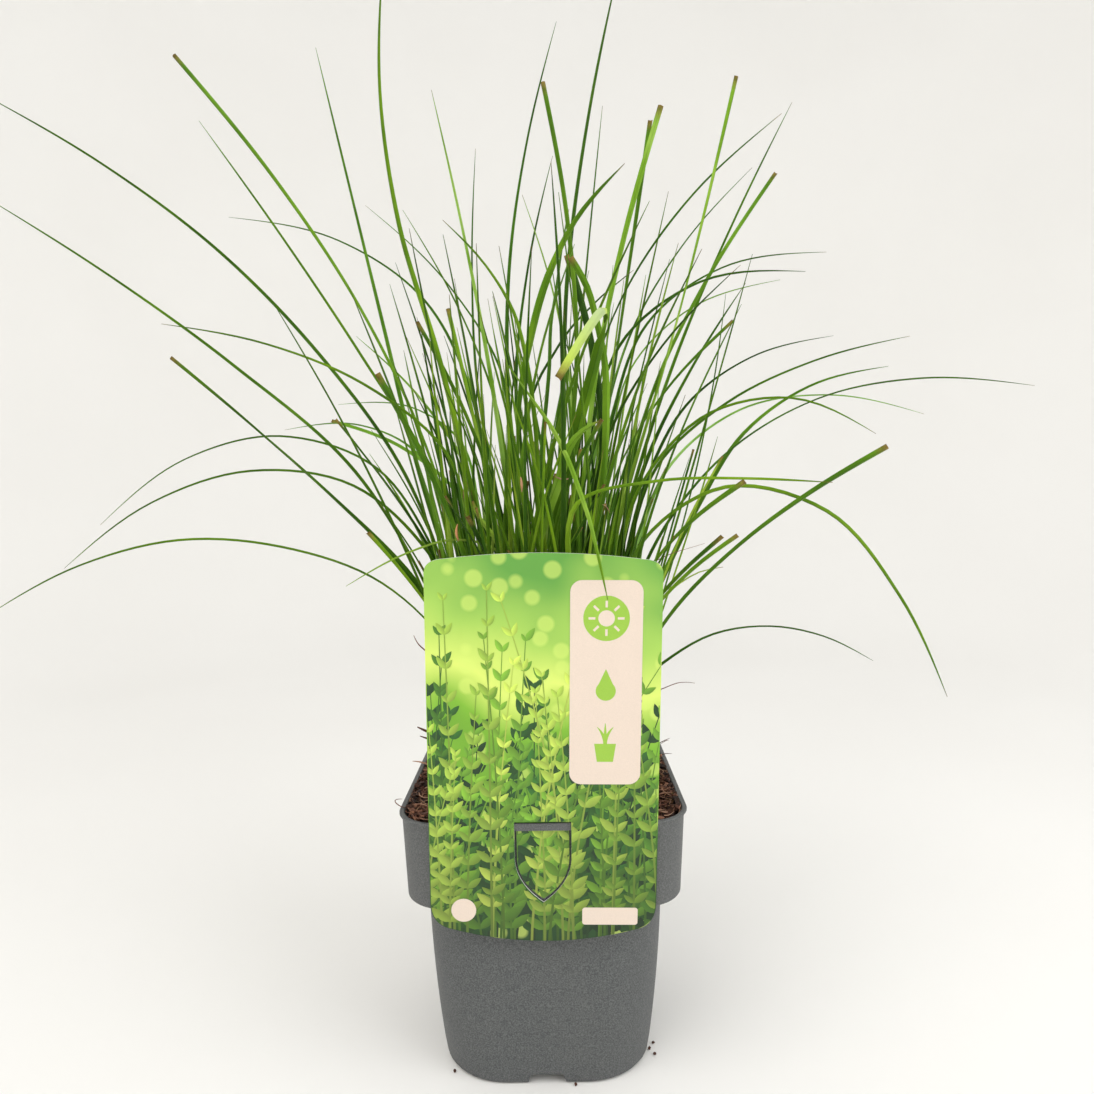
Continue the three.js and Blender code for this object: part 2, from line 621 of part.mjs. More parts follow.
function isClear(pieces, placed) {
  for (const piece of pieces) {
    for (const other of placed) {
      const ownSheath = other.isSheath && other.shootIndex === piece.shootIndex;
      if (!ownSheath && piece.box.intersectsBox(other.box) && !areClear(piece, other)) return false;
    }
  }
  return true;
}

// Blades stay above the rim and the soil and behind the card, which holds the front ones back.
function isOutsideHolder(points) {
  const half = RIM_WIDTH / 2 + RIM_CLEARANCE;
  const cardHalf = CARD_HALF_WIDTH + CARD_CLEARANCE;
  const steps = 4;
  for (let i = 0; i + 1 < points.length; i += 1) {
    for (let step = 0; step <= steps; step += 1) {
      const p = points[i].clone().lerp(points[i + 1], step / steps);
      const overPot = Math.abs(p.x) < half && Math.abs(p.y) < half;
      const nearRim = Math.hypot(p.x, p.y) > CLUMP_RADIUS + 3 * RIM_CLEARANCE;
      if (overPot && nearRim && p.z < POT_HEIGHT + RIM_CLEARANCE) return false;
      const atCard = Math.abs(p.x) < cardHalf && p.y < CARD_KEEP_OFF_Y;
      if (atCard && p.z < CARD_TOP_Z + CARD_CLEARANCE) return false;
      if (p.z < POT_HEIGHT) return false;
    }
  }
  return true;
}

// A shoot's free slots, the rank that faces a heading best first and its outer layers before.
function slotsFacing(shoot, heading) {
  const miss = (slot) => 1 - Math.cos(shoot.turn + rankAngle(slot) - heading) - 0.01 * slot.layer;
  return [...shoot.slots].sort((one, two) => miss(one) - miss(two));
}

function setBlade(row, shoot, slot, shift) {
  const [width, cropped, ...guides] = row;
  const way = [bladeRoot(shoot, slot)];
  guides.forEach(([x, y, z], i) => way.push(new THREE.Vector3(x, y + shift * (i + 1) / guides.length, z)));
  const curve = new THREE.CatmullRomCurve3(way, false, 'catmullrom', 0.5);
  const segments = guides.length > 3 ? BLADE_SEGMENTS + 1 : BLADE_SEGMENTS;
  const points = [];
  for (let i = 0; i <= segments; i += 1) points.push(curve.getPoint(i / segments));
  const travel = points[segments].clone().sub(points[0]);
  const twist = THREE.MathUtils.clamp(Math.atan(travel.x / travel.y), -SET_TWIST, SET_TWIST);
  return addSections({ points, slot, width, cropped: cropped === 1, twist }, shoot);
}

// Grows a blade whose heading turns from its place on the shoot towards an end heading. As its
// wildness falls from 1 to 0 it grows shorter and straighter.
function grownBlade(shoot, slot, wildness, draw) {
  const angle = rankAngle(slot);
  const splay = Math.tan(FIRST_SPLAY + SPLAY_STEP * slot.layer);
  const start = shoot.axis.clone()
    .addScaledVector(shoot.front, Math.cos(angle) * splay)
    .addScaledVector(shoot.side, Math.sin(angle) * splay);
  const aside = TURN_ASIDE * wildness * (2 * draw() - 1);
  const around = shoot.turn + angle * (1 - 0.5 * shoot.reach) + aside;
  const stray = STRAY_LEAN * wildness * draw() ** 2;
  const openness = THREE.MathUtils.lerp(SIDE_LEAN_SHARE, 1, Math.abs(Math.sin(around)));
  const fullLean = EDGE_LEAN * shoot.reach + LAYER_LEAN * slot.layer + stray;
  const endLean = LEAST_LEAN + openness * fullLean;
  const length = THREE.MathUtils.lerp(SHORTEST, LONGEST, draw()) * (0.6 + 0.4 * wildness);
  const bend = 1 + 0.9 * draw();
  const width = THREE.MathUtils.lerp(NARROWEST, WIDEST, draw());
  const cropped = draw() < CROPPED_SHARE && length < LONGEST_CROPPED;
  const twist = MOST_TWIST * (2 * draw() - 1);
  const sideways = Math.sin(endLean);
  const end = new THREE.Vector3(Math.cos(around), Math.sin(around), 0).multiplyScalar(sideways);
  end.z = Math.cos(endLean);
  const segments = length < SHORT_LENGTH ? BLADE_SEGMENTS - 1 : BLADE_SEGMENTS;
  const points = [bladeRoot(shoot, slot)];
  for (let i = 0; i < segments; i += 1) {
    const share = ((i + 0.5) / segments) ** bend;
    const heading = start.clone().lerp(end, share).normalize();
    points.push(points[i].clone().addScaledVector(heading, length / segments));
  }
  return addSections({ points, slot, width, cropped, twist }, shoot);
}

function growClump() {
  const draw = seededDraws(CLUMP_SEED);
  const shoots = makeShoots(draw);
  const placed = [];
  shoots.forEach((shoot, shootIndex) => {
    const foot = sheathRing(shoot, 0, SHEATH_RADIUS);
    const top = sheathRing(shoot, shoot.sheath, SHEATH_RADIUS);
    placed.push({ ...makePiece(foot, top, shootIndex), isSheath: true });
  });
  const keep = (blade, shootIndex) => {
    const pieces = bladePieces(blade, shootIndex);
    if (!isOutsideHolder(blade.points) || !isClear(pieces, placed)) return false;
    placed.push(...pieces);
    const shoot = shoots[shootIndex];
    shoot.blades.push(blade);
    shoot.slots = shoot.slots.filter((other) => other !== blade.slot);
    return true;
  };
  const placeSetBlade = (row) => {
    const [tipX, tipY] = row[row.length - 1];
    const spread = Math.hypot(tipX, tipY);
    const pull = Math.min(0.9 * CLUMP_RADIUS, 0.13 * spread) / spread;
    const nearest = shoots
      .map(({ foot }, index) => ({ index, away: Math.hypot(foot.x - tipX * pull, foot.y - tipY * pull) }))
      .filter(({ index }) => shoots[index].slots.length > 4)
      .sort((one, two) => one.away - two.away)
      .slice(0, 8);
    for (const shift of [0, 5, -5, 10, -10, 16, -16]) {
      for (const { index } of nearest) {
        for (const slot of slotsFacing(shoots[index], Math.atan2(tipY, tipX)).slice(0, 4)) {
          if (keep(setBlade(row, shoots[index], slot, shift), index)) return true;
        }
      }
    }
    return false;
  };
  SET_BLADES.forEach(placeSetBlade);
  shoots.forEach((shoot, shootIndex) => {
    for (const slot of shoot.slots) {
      let done = false;
      for (let attempt = 0; attempt < BLADE_TRIES && !done; attempt += 1) {
        done = keep(grownBlade(shoot, slot, 1 - attempt / BLADE_TRIES, draw), shootIndex);
      }
    }
  });
  return shoots;
}

function sheathRing(shoot, distance, radius) {
  const ring = [];
  for (let i = 0; i < SHEATH_SIDES; i += 1) {
    const angle = (i / SHEATH_SIDES) * 2 * Math.PI;
    ring.push(shootPoint(shoot, distance, Math.cos(angle) * radius, Math.sin(angle) * radius));
  }
  return ring;
}

// The least height of any of the triangles, which is next to nothing where one is a sliver.
function thinnestTriangle(positions, index) {
  const corner = (i) => new THREE.Vector3().fromArray(positions, 3 * index[i]);
  let thinnest = Infinity;
  for (let i = 0; i < index.length; i += 3) {
    const triangle = new THREE.Triangle(corner(i), corner(i + 1), corner(i + 2));
    const { a, b, c } = triangle;
    const longest = Math.max(a.distanceTo(b), b.distanceTo(c), c.distanceTo(a));
    thinnest = Math.min(thinnest, 2 * triangle.getArea() / longest);
  }
  return thinnest;
}

// A shoot in one skin: the sheath's prism, its top with a gap for each root, and the blades. The
// roots are drawn in by a share of their width.
function skinShoot(shoot, rootShare) {
  const positions = [];
  const index = [];
  const addRing = (ring) => {
    const start = positions.length / 3;
    ring.forEach((point) => positions.push(point.x, point.y, point.z));
    return ring.map((_, i) => start + i);
  };
  const flat = (point) => {
    const offset = point.clone().sub(shoot.foot);
    return new THREE.Vector2(offset.dot(shoot.front), offset.dot(shoot.side));
  };
  const join = (lower, upper) => {
    for (let i = 0; i < lower.length; i += 1) {
      const next = (i + 1) % lower.length;
      if (upper.length === 1) index.push(lower[i], lower[next], upper[0]);
      else index.push(lower[i], lower[next], upper[next], lower[i], upper[next], upper[i]);
    }
  };
  const footRing = sheathRing(shoot, SHOOT_FOOT_Z - SOIL_LEVEL, SHEATH_RADIUS);
  const topRing = sheathRing(shoot, shoot.sheath, SHEATH_RADIUS);
  const foot = addRing(footRing);
  const top = addRing(topRing);
  join(foot, top);
  for (let i = 1; i + 1 < foot.length; i += 1) index.push(foot[0], foot[i + 1], foot[i]);
  const holes = [];
  const topCorners = [...top];
  for (const blade of shoot.blades) {
    const rings = bladeRings(blade);
    rings[0].forEach((point) => point.lerp(blade.sections[0].centre, 1 - rootShare));
    let lower = addRing(rings[0]);
    holes.push(rings[0].map(flat).reverse());
    topCorners.push(...[...lower].reverse());
    for (const ring of rings.slice(1)) {
      const upper = addRing(ring);
      join(lower, upper);
      lower = upper;
    }
  }
  for (const triangle of THREE.ShapeUtils.triangulateShape(topRing.map(flat), holes)) {
    index.push(...triangle.map((corner) => topCorners[corner]));
  }
  return { positions, index };
}

// Draws a shoot's roots in until its top has no slivers, or as few as it can.
function shootGeometry(shoot) {
  let best = null;
  let widest = 0;
  for (const rootShare of ROOT_SHARES) {
    const skin = skinShoot(shoot, rootShare);
    const thinnest = thinnestTriangle(skin.positions, skin.index);
    if (thinnest > widest) {
      best = skin;
      widest = thinnest;
    }
    if (widest > LEAST_TRIANGLE) break;
  }
  const geometry = new THREE.BufferGeometry();
  geometry.setAttribute('position', new THREE.Float32BufferAttribute(best.positions, 3));
  geometry.setIndex(best.index);
  geometry.computeVertexNormals();
  return geometry;
}

// ---------------------------------------------------------------- soil

function soilSurface(draw) {
  const half = RIM_WIDTH / 2;
  const cell = 2 * half / SOIL_CELLS;
  const positions = [];
  const index = [];
  const across = SOIL_CELLS + 1;
  for (let row = 0; row <= SOIL_CELLS; row += 1) {
    for (let column = 0; column <= SOIL_CELLS; column += 1) {
      const [x, y] = [-half + column * cell, -half + row * cell];
      const reach = Math.max(Math.abs(x), Math.abs(y)) / half;
      const heap = SOIL_HEAP * THREE.MathUtils.smoothstep(reach, 0.6, 0.9);
      positions.push(x, y, SOIL_LEVEL + heap + SOIL_RELIEF * (2 * draw() - 1));
    }
  }
  const under = positions.length / 3;
  for (let i = 0; i < under; i += 1) positions.push(positions[3 * i], positions[3 * i + 1], -5);
  for (let row = 0; row < SOIL_CELLS; row += 1) {
    for (let column = 0; column < SOIL_CELLS; column += 1) {
      const a = row * across + column;
      const b = a + 1;
      const c = a + across;
      const d = c + 1;
      index.push(a, b, d, a, d, c);
      index.push(under + a, under + d, under + b, under + a, under + c, under + d);
    }
  }
  const edge = (a, b) => index.push(a, under + b, b, a, under + a, under + b);
  for (let i = 0; i < SOIL_CELLS; i += 1) {
    edge(i, i + 1);
    edge(SOIL_CELLS * across + i + 1, SOIL_CELLS * across + i);
    edge((i + 1) * across, i * across);
    edge(i * across + SOIL_CELLS, (i + 1) * across + SOIL_CELLS);
  }
  const geometry = new THREE.BufferGeometry();
  geometry.setAttribute('position', new THREE.Float32BufferAttribute(positions, 3));
  geometry.setIndex(index);
  return toSolid(geometry);
}

function soilSolid(shoots) {
  let solid = cavity(GAP).intersect(soilSurface(seededDraws(CLUMP_SEED + 1)));
  const holeFoot = SHOOT_FOOT_Z - SOIL_LEVEL - GAP;
  const holeTop = 4 * SOIL_RELIEF;
  const radius = SHEATH_RADIUS + 1.2 * GAP;
  for (const shoot of shoots) {
    const hole = loft([sheathRing(shoot, holeFoot, radius), sheathRing(shoot, holeTop, radius)]);
    solid = solid.subtract(toSolid(hole));
  }
  return solid;
}

// ---------------------------------------------------------------- assembly

const potPlastic = new THREE.MeshStandardMaterial({ color: 0x4a4d50, roughness: 0.62, metalness: 0 });
const soilPeat = new THREE.MeshStandardMaterial({ color: 0x4b3227, roughness: 0.95, metalness: 0 });
const labelCard = new THREE.MeshStandardMaterial({ color: 0xa9cf6a, roughness: 0.35, metalness: 0 });
const leafGreens = [0x3f7d26, 0x4f8f2c, 0x679f35, 0x356f2b].map(
  (color) => new THREE.MeshStandardMaterial({ color, roughness: 0.5, metalness: 0 }),
);

function namedMesh(name, geometry, material) {
  const mesh = new THREE.Mesh(geometry, material);
  mesh.name = name;
  return mesh;
}

const sedge = new THREE.Group();
sedge.name = 'potted_carex_sedge';

const shoots = growClump();
sedge.add(namedMesh('pot', toGeometry(potSolid()), potPlastic));
sedge.add(namedMesh('soil', toGeometry(soilSolid(shoots)), soilPeat));
sedge.add(namedMesh('label', toGeometry(labelSolid()), labelCard));
shoots.forEach((shoot, i) => {
  const name = `shoot_${String(i + 1).padStart(2, '0')}`;
  sedge.add(namedMesh(name, shootGeometry(shoot), leafGreens[i % leafGreens.length]));
});

export default sedge;
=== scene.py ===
import math

import bmesh
import bpy
import numpy as np
from mathutils import Matrix, Vector
from mathutils.bvhtree import BVHTree


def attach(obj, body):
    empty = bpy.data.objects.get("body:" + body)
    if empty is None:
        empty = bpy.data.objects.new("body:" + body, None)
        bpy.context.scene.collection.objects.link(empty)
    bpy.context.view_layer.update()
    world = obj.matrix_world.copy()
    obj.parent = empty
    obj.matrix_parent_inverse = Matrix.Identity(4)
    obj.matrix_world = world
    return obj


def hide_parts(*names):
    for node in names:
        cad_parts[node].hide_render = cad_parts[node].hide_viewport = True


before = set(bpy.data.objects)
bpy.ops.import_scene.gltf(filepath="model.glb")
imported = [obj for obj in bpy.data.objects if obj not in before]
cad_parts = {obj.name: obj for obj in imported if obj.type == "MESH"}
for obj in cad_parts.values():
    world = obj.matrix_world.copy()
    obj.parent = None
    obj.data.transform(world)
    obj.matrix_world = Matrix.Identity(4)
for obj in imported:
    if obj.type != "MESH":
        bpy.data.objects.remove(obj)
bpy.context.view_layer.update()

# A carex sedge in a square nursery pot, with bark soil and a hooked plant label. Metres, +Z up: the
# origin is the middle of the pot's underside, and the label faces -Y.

MM = 0.001

# ------------------------------------------------------------------ sizes, in millimetres

# Pot.
RIM_WIDTH = 129.4
POT_HEIGHT = 130
RIM_THICKNESS = 1.2
COLLAR_TOP_WIDTH = 127
COLLAR_FOOT_WIDTH = 124
COLLAR_FOOT_Z = 90
COLLAR_FILLET = 2
BODY_TOP_WIDTH = 110.9
BODY_MIDDLE_WIDTH = 107.2
BODY_FOOT_WIDTH = 98.6
FOOT_FILLET = 2.5
WALL = 1.2
COLLAR_CORNER = 17.8
BODY_CORNER = 30
CORNER_STEPS = 12
CHANNEL_WIDTH = 18.5
CHANNEL_ROOF_WIDTH = 14.5
CHANNEL_HEIGHT = 5.2
CHANNEL_INNER_END = 19
DRAIN_RADIUS = 4
DRAIN_PLACE = 26
STRAP_WIDTH = 33
STRAP_HEIGHT = 3.2
STRAP_THICKNESS = 0.9
SLOT_WIDTH = 27
SLOT_INNER = 62.5

# Label.
GAP = 0.3
CARD_HALF_WIDTH = 49
CARD_TOP_Z = 247.6
CARD_FOOT_Z = 76
CARD_REACH = 120  # about how far the card goes above the line where it rests
CARD_THICKNESS = 0.7
CARD_SIDE_LEAN = math.radians(1)
CARD_SHIFT = 0.25
TONGUE_THICKNESS = 0.6
TONGUE_HALF_WIDTH = 12.2
TONGUE_TOP_Z = 131.2
TONGUE_SHOULDER_Z = 113.8
TONGUE_TIP_Z = 94.2
TONGUE_CUT = 0.8
CARD_REST_Z = POT_HEIGHT - STRAP_HEIGHT / 2
CARD_REST_Y = -(RIM_WIDTH / 2 + GAP)
CARD_LOW_Y = -(COLLAR_FOOT_WIDTH / 2 + GAP)
CARD_LEAN = math.atan((CARD_LOW_Y - CARD_REST_Y) / (CARD_REST_Z - COLLAR_FOOT_Z))

# Clump.
SHOOT_COUNT = 46
CLUMP_RADIUS = 36
GOLDEN_ANGLE = math.radians(137.508)
SHOOT_LEAN = math.radians(8)
SOIL_LEVEL = 122
SHEATH_LENGTH = 28
SHEATH_RADIUS = 3.2
CLUMP_SEED = 20240611

# ------------------------------------------------------------------ small helpers


def seeded_draws(seed):
    """The clump's own draws, from 0 up to 1, by a linear congruential rule on 32 bits."""
    state = seed
    while True:
        state = (state * 1664525 + 1013904223) % 2**32
        yield state / 2**32


def unit(vectors):
    return vectors / np.linalg.norm(vectors, axis=-1, keepdims=True)


def link(made):
    bpy.context.scene.collection.objects.link(made)
    return made


def make_object(name, points, faces, scale=MM):
    """A plain object, from points in millimetres unless another scale is given."""
    mesh = bpy.data.meshes.new(name)
    mesh.from_pydata((np.asarray(points, float) * scale).tolist(), [], faces)
    return link(bpy.data.objects.new(name, mesh))


def add_piece(name, points, faces, materials, slot, stands_for=(), values=None, smooth=True):
    """Makes one piece of the object from points in millimetres."""
    piece = make_object(name, points, faces)
    mesh = piece.data
    for material in materials:
        mesh.materials.append(material)
    for key, numbers in (values or {}).items():
        numbers = np.asarray(numbers, np.float32)
        kind = "FLOAT_COLOR" if numbers.ndim > 1 else "FLOAT"
        layer = mesh.attributes.new(key, kind, "POINT")
        layer.data.foreach_set("color" if numbers.ndim > 1 else "value", numbers.ravel())
    mesh.polygons.foreach_set("use_smooth", [smooth] * len(mesh.polygons))
    mesh.update()
    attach(piece, "root")
    if stands_for:
        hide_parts(*stands_for)
    return piece


def point_normals_outwards(piece):
    bm = bmesh.new()
    bm.from_mesh(piece.data)
    bmesh.ops.recalc_face_normals(bm, faces=bm.faces)
    bm.to_mesh(piece.data)
    bm.free()


def mark_sharp(piece, degrees):
    bm = bmesh.new()
    bm.from_mesh(piece.data)
    limit = math.radians(degrees)
    for edge in bm.edges:
        edge.smooth = edge.is_manifold and edge.calc_face_angle(0) < limit
    bm.to_mesh(piece.data)
    bm.free()


# ------------------------------------------------------------------ materials


class Nodes:
    """A short way to write a material's node tree."""

    def __init__(self, name):
        self.material = bpy.data.materials.new(name)
        self.material.use_nodes = True
        self.tree = self.material.node_tree
        self.shader = self.tree.nodes["Principled BSDF"]

    def add(self, kind, inputs=None, **settings):
        node = self.tree.nodes.new("ShaderNode" + kind)
        for key, value in settings.items():
            setattr(node, key, value)
        for key, value in (inputs or {}).items():
            self.feed(node.inputs[key], value)
        return node

    def feed(self, socket, value):
        if isinstance(value, bpy.types.NodeSocket):
            self.tree.links.new(value, socket)
        else:
            socket.default_value = value

    def math(self, operation, first, second=0.0, clamp=False):
        inputs = {0: first, 1: second}
        return self.add("Math", inputs, operation=operation, use_clamp=clamp).outputs[0]

    def value(self, name):
        return self.add("Attribute", attribute_name=name).outputs["Fac"]

    def place(self):
        return self.add("TexCoord").outputs["Object"]

    def noise(self, scale, detail=3.0, vector=None):
        inputs = {"Scale": scale, "Detail": detail, "Vector": vector or self.place()}
        return self.add("TexNoise", inputs).outputs["Fac"]

    def streaks(self, aside, upright):
        """Noise drawn out along Z."""
        inputs = {"Vector": self.place(), "Scale": (aside, aside, upright)}
        return self.noise(1.0, 4, self.add("Mapping", inputs).outputs[0])

    def between(self, value, low, high, out_low=0.0, out_high=1.0):
        inputs = {"Value": value, 1: low, 2: high, 3: out_low, 4: out_high}
        return self.add("MapRange", inputs).outputs["Result"]

    def mix(self, factor, first, second, blend="MIX"):
        node = self.add("Mix", data_type="RGBA", blend_type=blend)
        self.feed(node.inputs["Factor"], factor)
        for socket, colour in ((node.inputs["A"], first), (node.inputs["B"], second)):
            self.feed(self.colour_socket(node, socket.name), colour)
        return node.outputs[2]

    @staticmethod
    def colour_socket(node, name):
        return next(s for s in node.inputs if s.name == name and s.type == "RGBA")

    def ramp(self, value, stops):
        node = self.add("ValToRGB", {"Fac": value})
        elements = node.color_ramp.elements
        while len(elements) < len(stops):
            elements.new(0.5)
        for element, (place, colour) in zip(elements, stops):
            element.position = place
            element.color = (*colour, 1)
        return node.outputs["Color"]

    def bump(self, height, distance, strength=1.0):
        inputs = {"Height": height, "Distance": distance * MM, "Strength": strength}
        self.feed(self.shader.inputs["Normal"], self.add("Bump", inputs).outputs["Normal"])

    def finish(self, colour, roughness, **uniform):
        if isinstance(colour, tuple):
            colour = (*colour, 1)
        self.feed(self.shader.inputs["Base Color"], colour)
        self.feed(self.shader.inputs["Roughness"], roughness)
        for key, value in uniform.items():
            self.shader.inputs[key.replace("_", " ")].default_value = value
        return self.material


def rgb(*colour):
    return (*colour, 1)


def leaf_material():
    n = Nodes("leaf")
    tone, along, across, dry, pale = map(n.value, ("tone", "along", "across", "dry", "pale"))
    patchy = n.noise(38, 2)
    shade = n.math("ADD", tone, n.between(patchy, 0.3, 0.7, -0.14, 0.14))
    # Painted shade: blades are painted darker towards their roots, deep in the clump.
    shade = n.math("ADD", shade, n.between(along, 0.0, 0.3, -0.14, 0.03))
    green = n.ramp(shade, [
        (0.0, (0.006, 0.038, 0.001)),
        (0.3, (0.026, 0.098, 0.003)),
        (0.55, (0.080, 0.200, 0.006)),
        (0.8, (0.195, 0.380, 0.018)),
        (1.0, (0.430, 0.640, 0.090)),
    ])
    # Blades at the front are yellower, and those at the back are bluer.
    tint = n.mix(n.value("cool"), rgb(1.08, 1.0, 0.7), rgb(0.84, 1.0, 1.8))
    green = n.mix(1.0, green, tint, "MULTIPLY")
    # Fine ribs run the length of a blade. A darker line over the keel is painted shade in the fold, and the
    # paler edges are painted highlights.
    ribs = n.math("SINE", n.math("MULTIPLY", across, 34.0))
    green = n.mix(n.between(ribs, -1, 1, 0, 0.15), green, rgb(0.20, 0.40, 0.015))
    side = n.math("ABSOLUTE", across)
    green = n.mix(n.between(side, 0.0, 0.12, 0.45, 0.0), green, rgb(0.008, 0.044, 0.004))
    green = n.mix(n.between(side, 0.86, 1.0, 0.0, 0.42), green, rgb(0.30, 0.52, 0.06))
    # The folded blade shows its whitish underside, which turns yellow towards the tip.
    underside = n.mix(n.between(pale, 0.6, 0.95), rgb(0.50, 0.66, 0.09), rgb(0.46, 0.58, 0.30))
    green = n.mix(n.between(pale, 0.0, 0.45), green, underside)
    base = n.between(along, 0.0, 0.06, 0.6, 0.0)
    green = n.mix(base, green, rgb(0.20, 0.19, 0.05))
    dead = n.ramp(n.noise(420, 3), [
        (0.3, (0.11, 0.062, 0.014)),
        (0.7, (0.33, 0.22, 0.055)),
    ])
    colour = n.mix(dry, green, dead)
    n.bump(ribs, 0.05)
    rough = n.between(n.noise(160, 2), 0.3, 0.7, 0.40, 0.55)
    return n.finish(colour, rough, Specular_IOR_Level=0.12)


def sheath_material():
    n = Nodes("sheath")
    along = n.value("along")
    streaks = n.streaks(900, 60)
    height = n.math("ADD", along, n.between(streaks, 0.3, 0.7, -0.22, 0.22))
    colour = n.ramp(height, [
        (0.0, (0.060, 0.022, 0.012)),
        (0.35, (0.170, 0.070, 0.030)),
        (0.6, (0.300, 0.260, 0.090)),
        (0.85, (0.140, 0.240, 0.040)),
    ])
    n.bump(streaks, 0.12)
    return n.finish(colour, 0.6)


def bract_material():
    n = Nodes("bract")
    streaks = n.streaks(1100, 90)
    colour = n.ramp(streaks, [
        (0.3, (0.050, 0.020, 0.010)),
        (0.55, (0.190, 0.090, 0.040)),
        (0.75, (0.400, 0.250, 0.120)),
    ])
    n.bump(streaks, 0.15)
    return n.finish(colour, 0.75)


def pot_material():
    n = Nodes("pot_plastic")
    speckle = n.noise(1700, 2)
    cloud = n.noise(26, 4)
    grey = n.ramp(speckle, [
        (0.34, (0.047, 0.051, 0.053)),
        (0.5, (0.079, 0.084, 0.086)),
        (0.66, (0.120, 0.126, 0.126)),
    ])
    # Painted light: the collar is painted a little lighter than the body. Cloudy patches of dust lie over the
    # whole pot.
    height = n.add("SeparateXYZ", {"Vector": n.place()}).outputs["Z"]
    collar = n.between(height, (COLLAR_FOOT_Z - 1) * MM, (COLLAR_FOOT_Z + 1) * MM, 0.0, 0.13)
    dust_and_collar_light = n.math("ADD", n.between(cloud, 0.45, 0.75, 0.0, 0.10), collar)
    colour = n.mix(dust_and_collar_light, grey, rgb(0.17, 0.168, 0.160))
    n.bump(n.noise(1100, 3), 0.06)
    return n.finish(colour, n.between(cloud, 0.3, 0.7, 0.52, 0.66))


def soil_material():
    n = Nodes("potting_soil")
    fine = n.noise(620, 6)
    patch = n.noise(95, 3)
    colour = n.ramp(n.math("ADD", n.math("MULTIPLY", fine, 0.7), n.math("MULTIPLY", patch, 0.3)), [
        (0.35, (0.012, 0.006, 0.004)),
        (0.52, (0.045, 0.020, 0.012)),
        (0.68, (0.110, 0.050, 0.026)),
    ])
    n.bump(fine, 1.2)
    return n.finish(colour, 0.92)


def bark_material(name, dark, mid, pale, fresh):
    """Pieces with a tone from 0 to 1 go from dark to pale, and those above 1 look freshly broken."""
    n = Nodes(name)
    tone = n.value("tone")
    grain = n.noise(260, 5)
    mixed = n.math("ADD", n.math("MULTIPLY", tone, 0.6), n.math("MULTIPLY", grain, 0.35))
    colour = n.ramp(mixed, [(0.15, dark), (0.5, mid), (0.8, pale), (1.0, fresh)])
    n.bump(grain, 0.5)
    return n.finish(colour, 0.88)


def card_material():
    n = Nodes("card_stock")
    colour = n.ramp(n.noise(700, 2), [(0.4, (0.74, 0.75, 0.70)), (0.6, (0.80, 0.81, 0.77))])
    return n.finish(colour, 0.45)


def print_ground_material():
    """The printed sheet behind the drawn sprigs: deep green below, bright in the middle, and soft
    round glows all over."""
    n = Nodes("print_ground")
    place = n.add("SeparateXYZ", {"Vector": n.place()})
    height = n.between(place.outputs["Z"], CARD_FOOT_Z * MM, CARD_TOP_Z * MM)
    drift = n.between(n.noise(16, 2), 0.3, 0.7, -0.14, 0.14)
    colour = n.ramp(n.math("ADD", height, drift), [
        (0.0, (0.008, 0.045, 0.008)),
        (0.3, (0.030, 0.135, 0.012)),
        (0.52, (0.190, 0.440, 0.024)),
        (0.68, (0.660, 0.800, 0.160)),
        (0.85, (0.350, 0.580, 0.090)),
        (1.0, (0.110, 0.330, 0.045)),
    ])
    spots = n.add("TexVoronoi", {"Vector": n.place(), "Scale": 85.0}, feature="F1")
    glow = n.between(spots.outputs["Distance"], 0.26, 0.36, 0.5, 0.0)
    colour = n.mix(glow, colour, rgb(0.62, 0.78, 0.16))
    return n.finish(colour, 0.34)


def ink_material():
    n = Nodes("print_ink")
    ink = n.add("Attribute", attribute_name="ink").outputs["Color"]
    grain = n.between(n.noise(2200, 1), 0.35, 0.65, 0.0, 0.05)
    colour = n.mix(grain, ink, rgb(0.03, 0.08, 0.01))
    return n.finish(colour, 0.34)


LEAF = leaf_material()
SHEATH = sheath_material()
BRACT = bract_material()
POT = pot_material()
SOIL = soil_material()
BARK = bark_material("bark", (0.012, 0.005, 0.003), (0.085, 0.030, 0.016), (0.330, 0.150, 0.085),
                     (0.600, 0.330, 0.160))
FIBRE = bark_material("coir", (0.040, 0.016, 0.010), (0.190, 0.080, 0.045), (0.430, 0.250, 0.160),
                      (0.640, 0.300, 0.130))
CARD = card_material()
PRINT_GROUND = print_ground_material()
INK = ink_material()

# ------------------------------------------------------------------ the clump

BLADE_STEP = 7  # mm between two sections
BLADE_SKIN = 0.32  # mm thick
ROOT_DEPTHS = (9, 4)  # how far a blade goes on down inside its sheath
WELD = 2e-6
CROPPED_END = 3 * MM


def clump_shoots():
    """Each shoot's own frame, by the same rule as its solid."""
    draw = seeded_draws(CLUMP_SEED)
    shoots = []
    for i in range(SHOOT_COUNT):
        reach = math.sqrt((i + 0.5) / SHOOT_COUNT)
        turn = i * GOLDEN_ANGLE
        lean = SHOOT_LEAN * reach * (0.85 + 0.3 * next(draw))
        sheath = SHEATH_LENGTH * (0.8 + 0.4 * next(draw))
        out = np.array([math.cos(turn), math.sin(turn), 0])
        up = np.array([0, 0, 1])
        shoots.append({
            "name": f"shoot_{i + 1:02d}",
            "reach": reach,
            "foot": out * CLUMP_RADIUS * reach + up * SOIL_LEVEL,
            "axis": out * math.sin(lean) + up * math.cos(lean),
            "front": out * math.cos(lean) - up * math.sin(lean),
            "side": np.array([-math.sin(turn), math.cos(turn), 0]),
            "sheath": sheath,
        })
    return shoots


def neighbours(corner):
    return {edge.other_vert(corner) for edge in corner.link_edges}


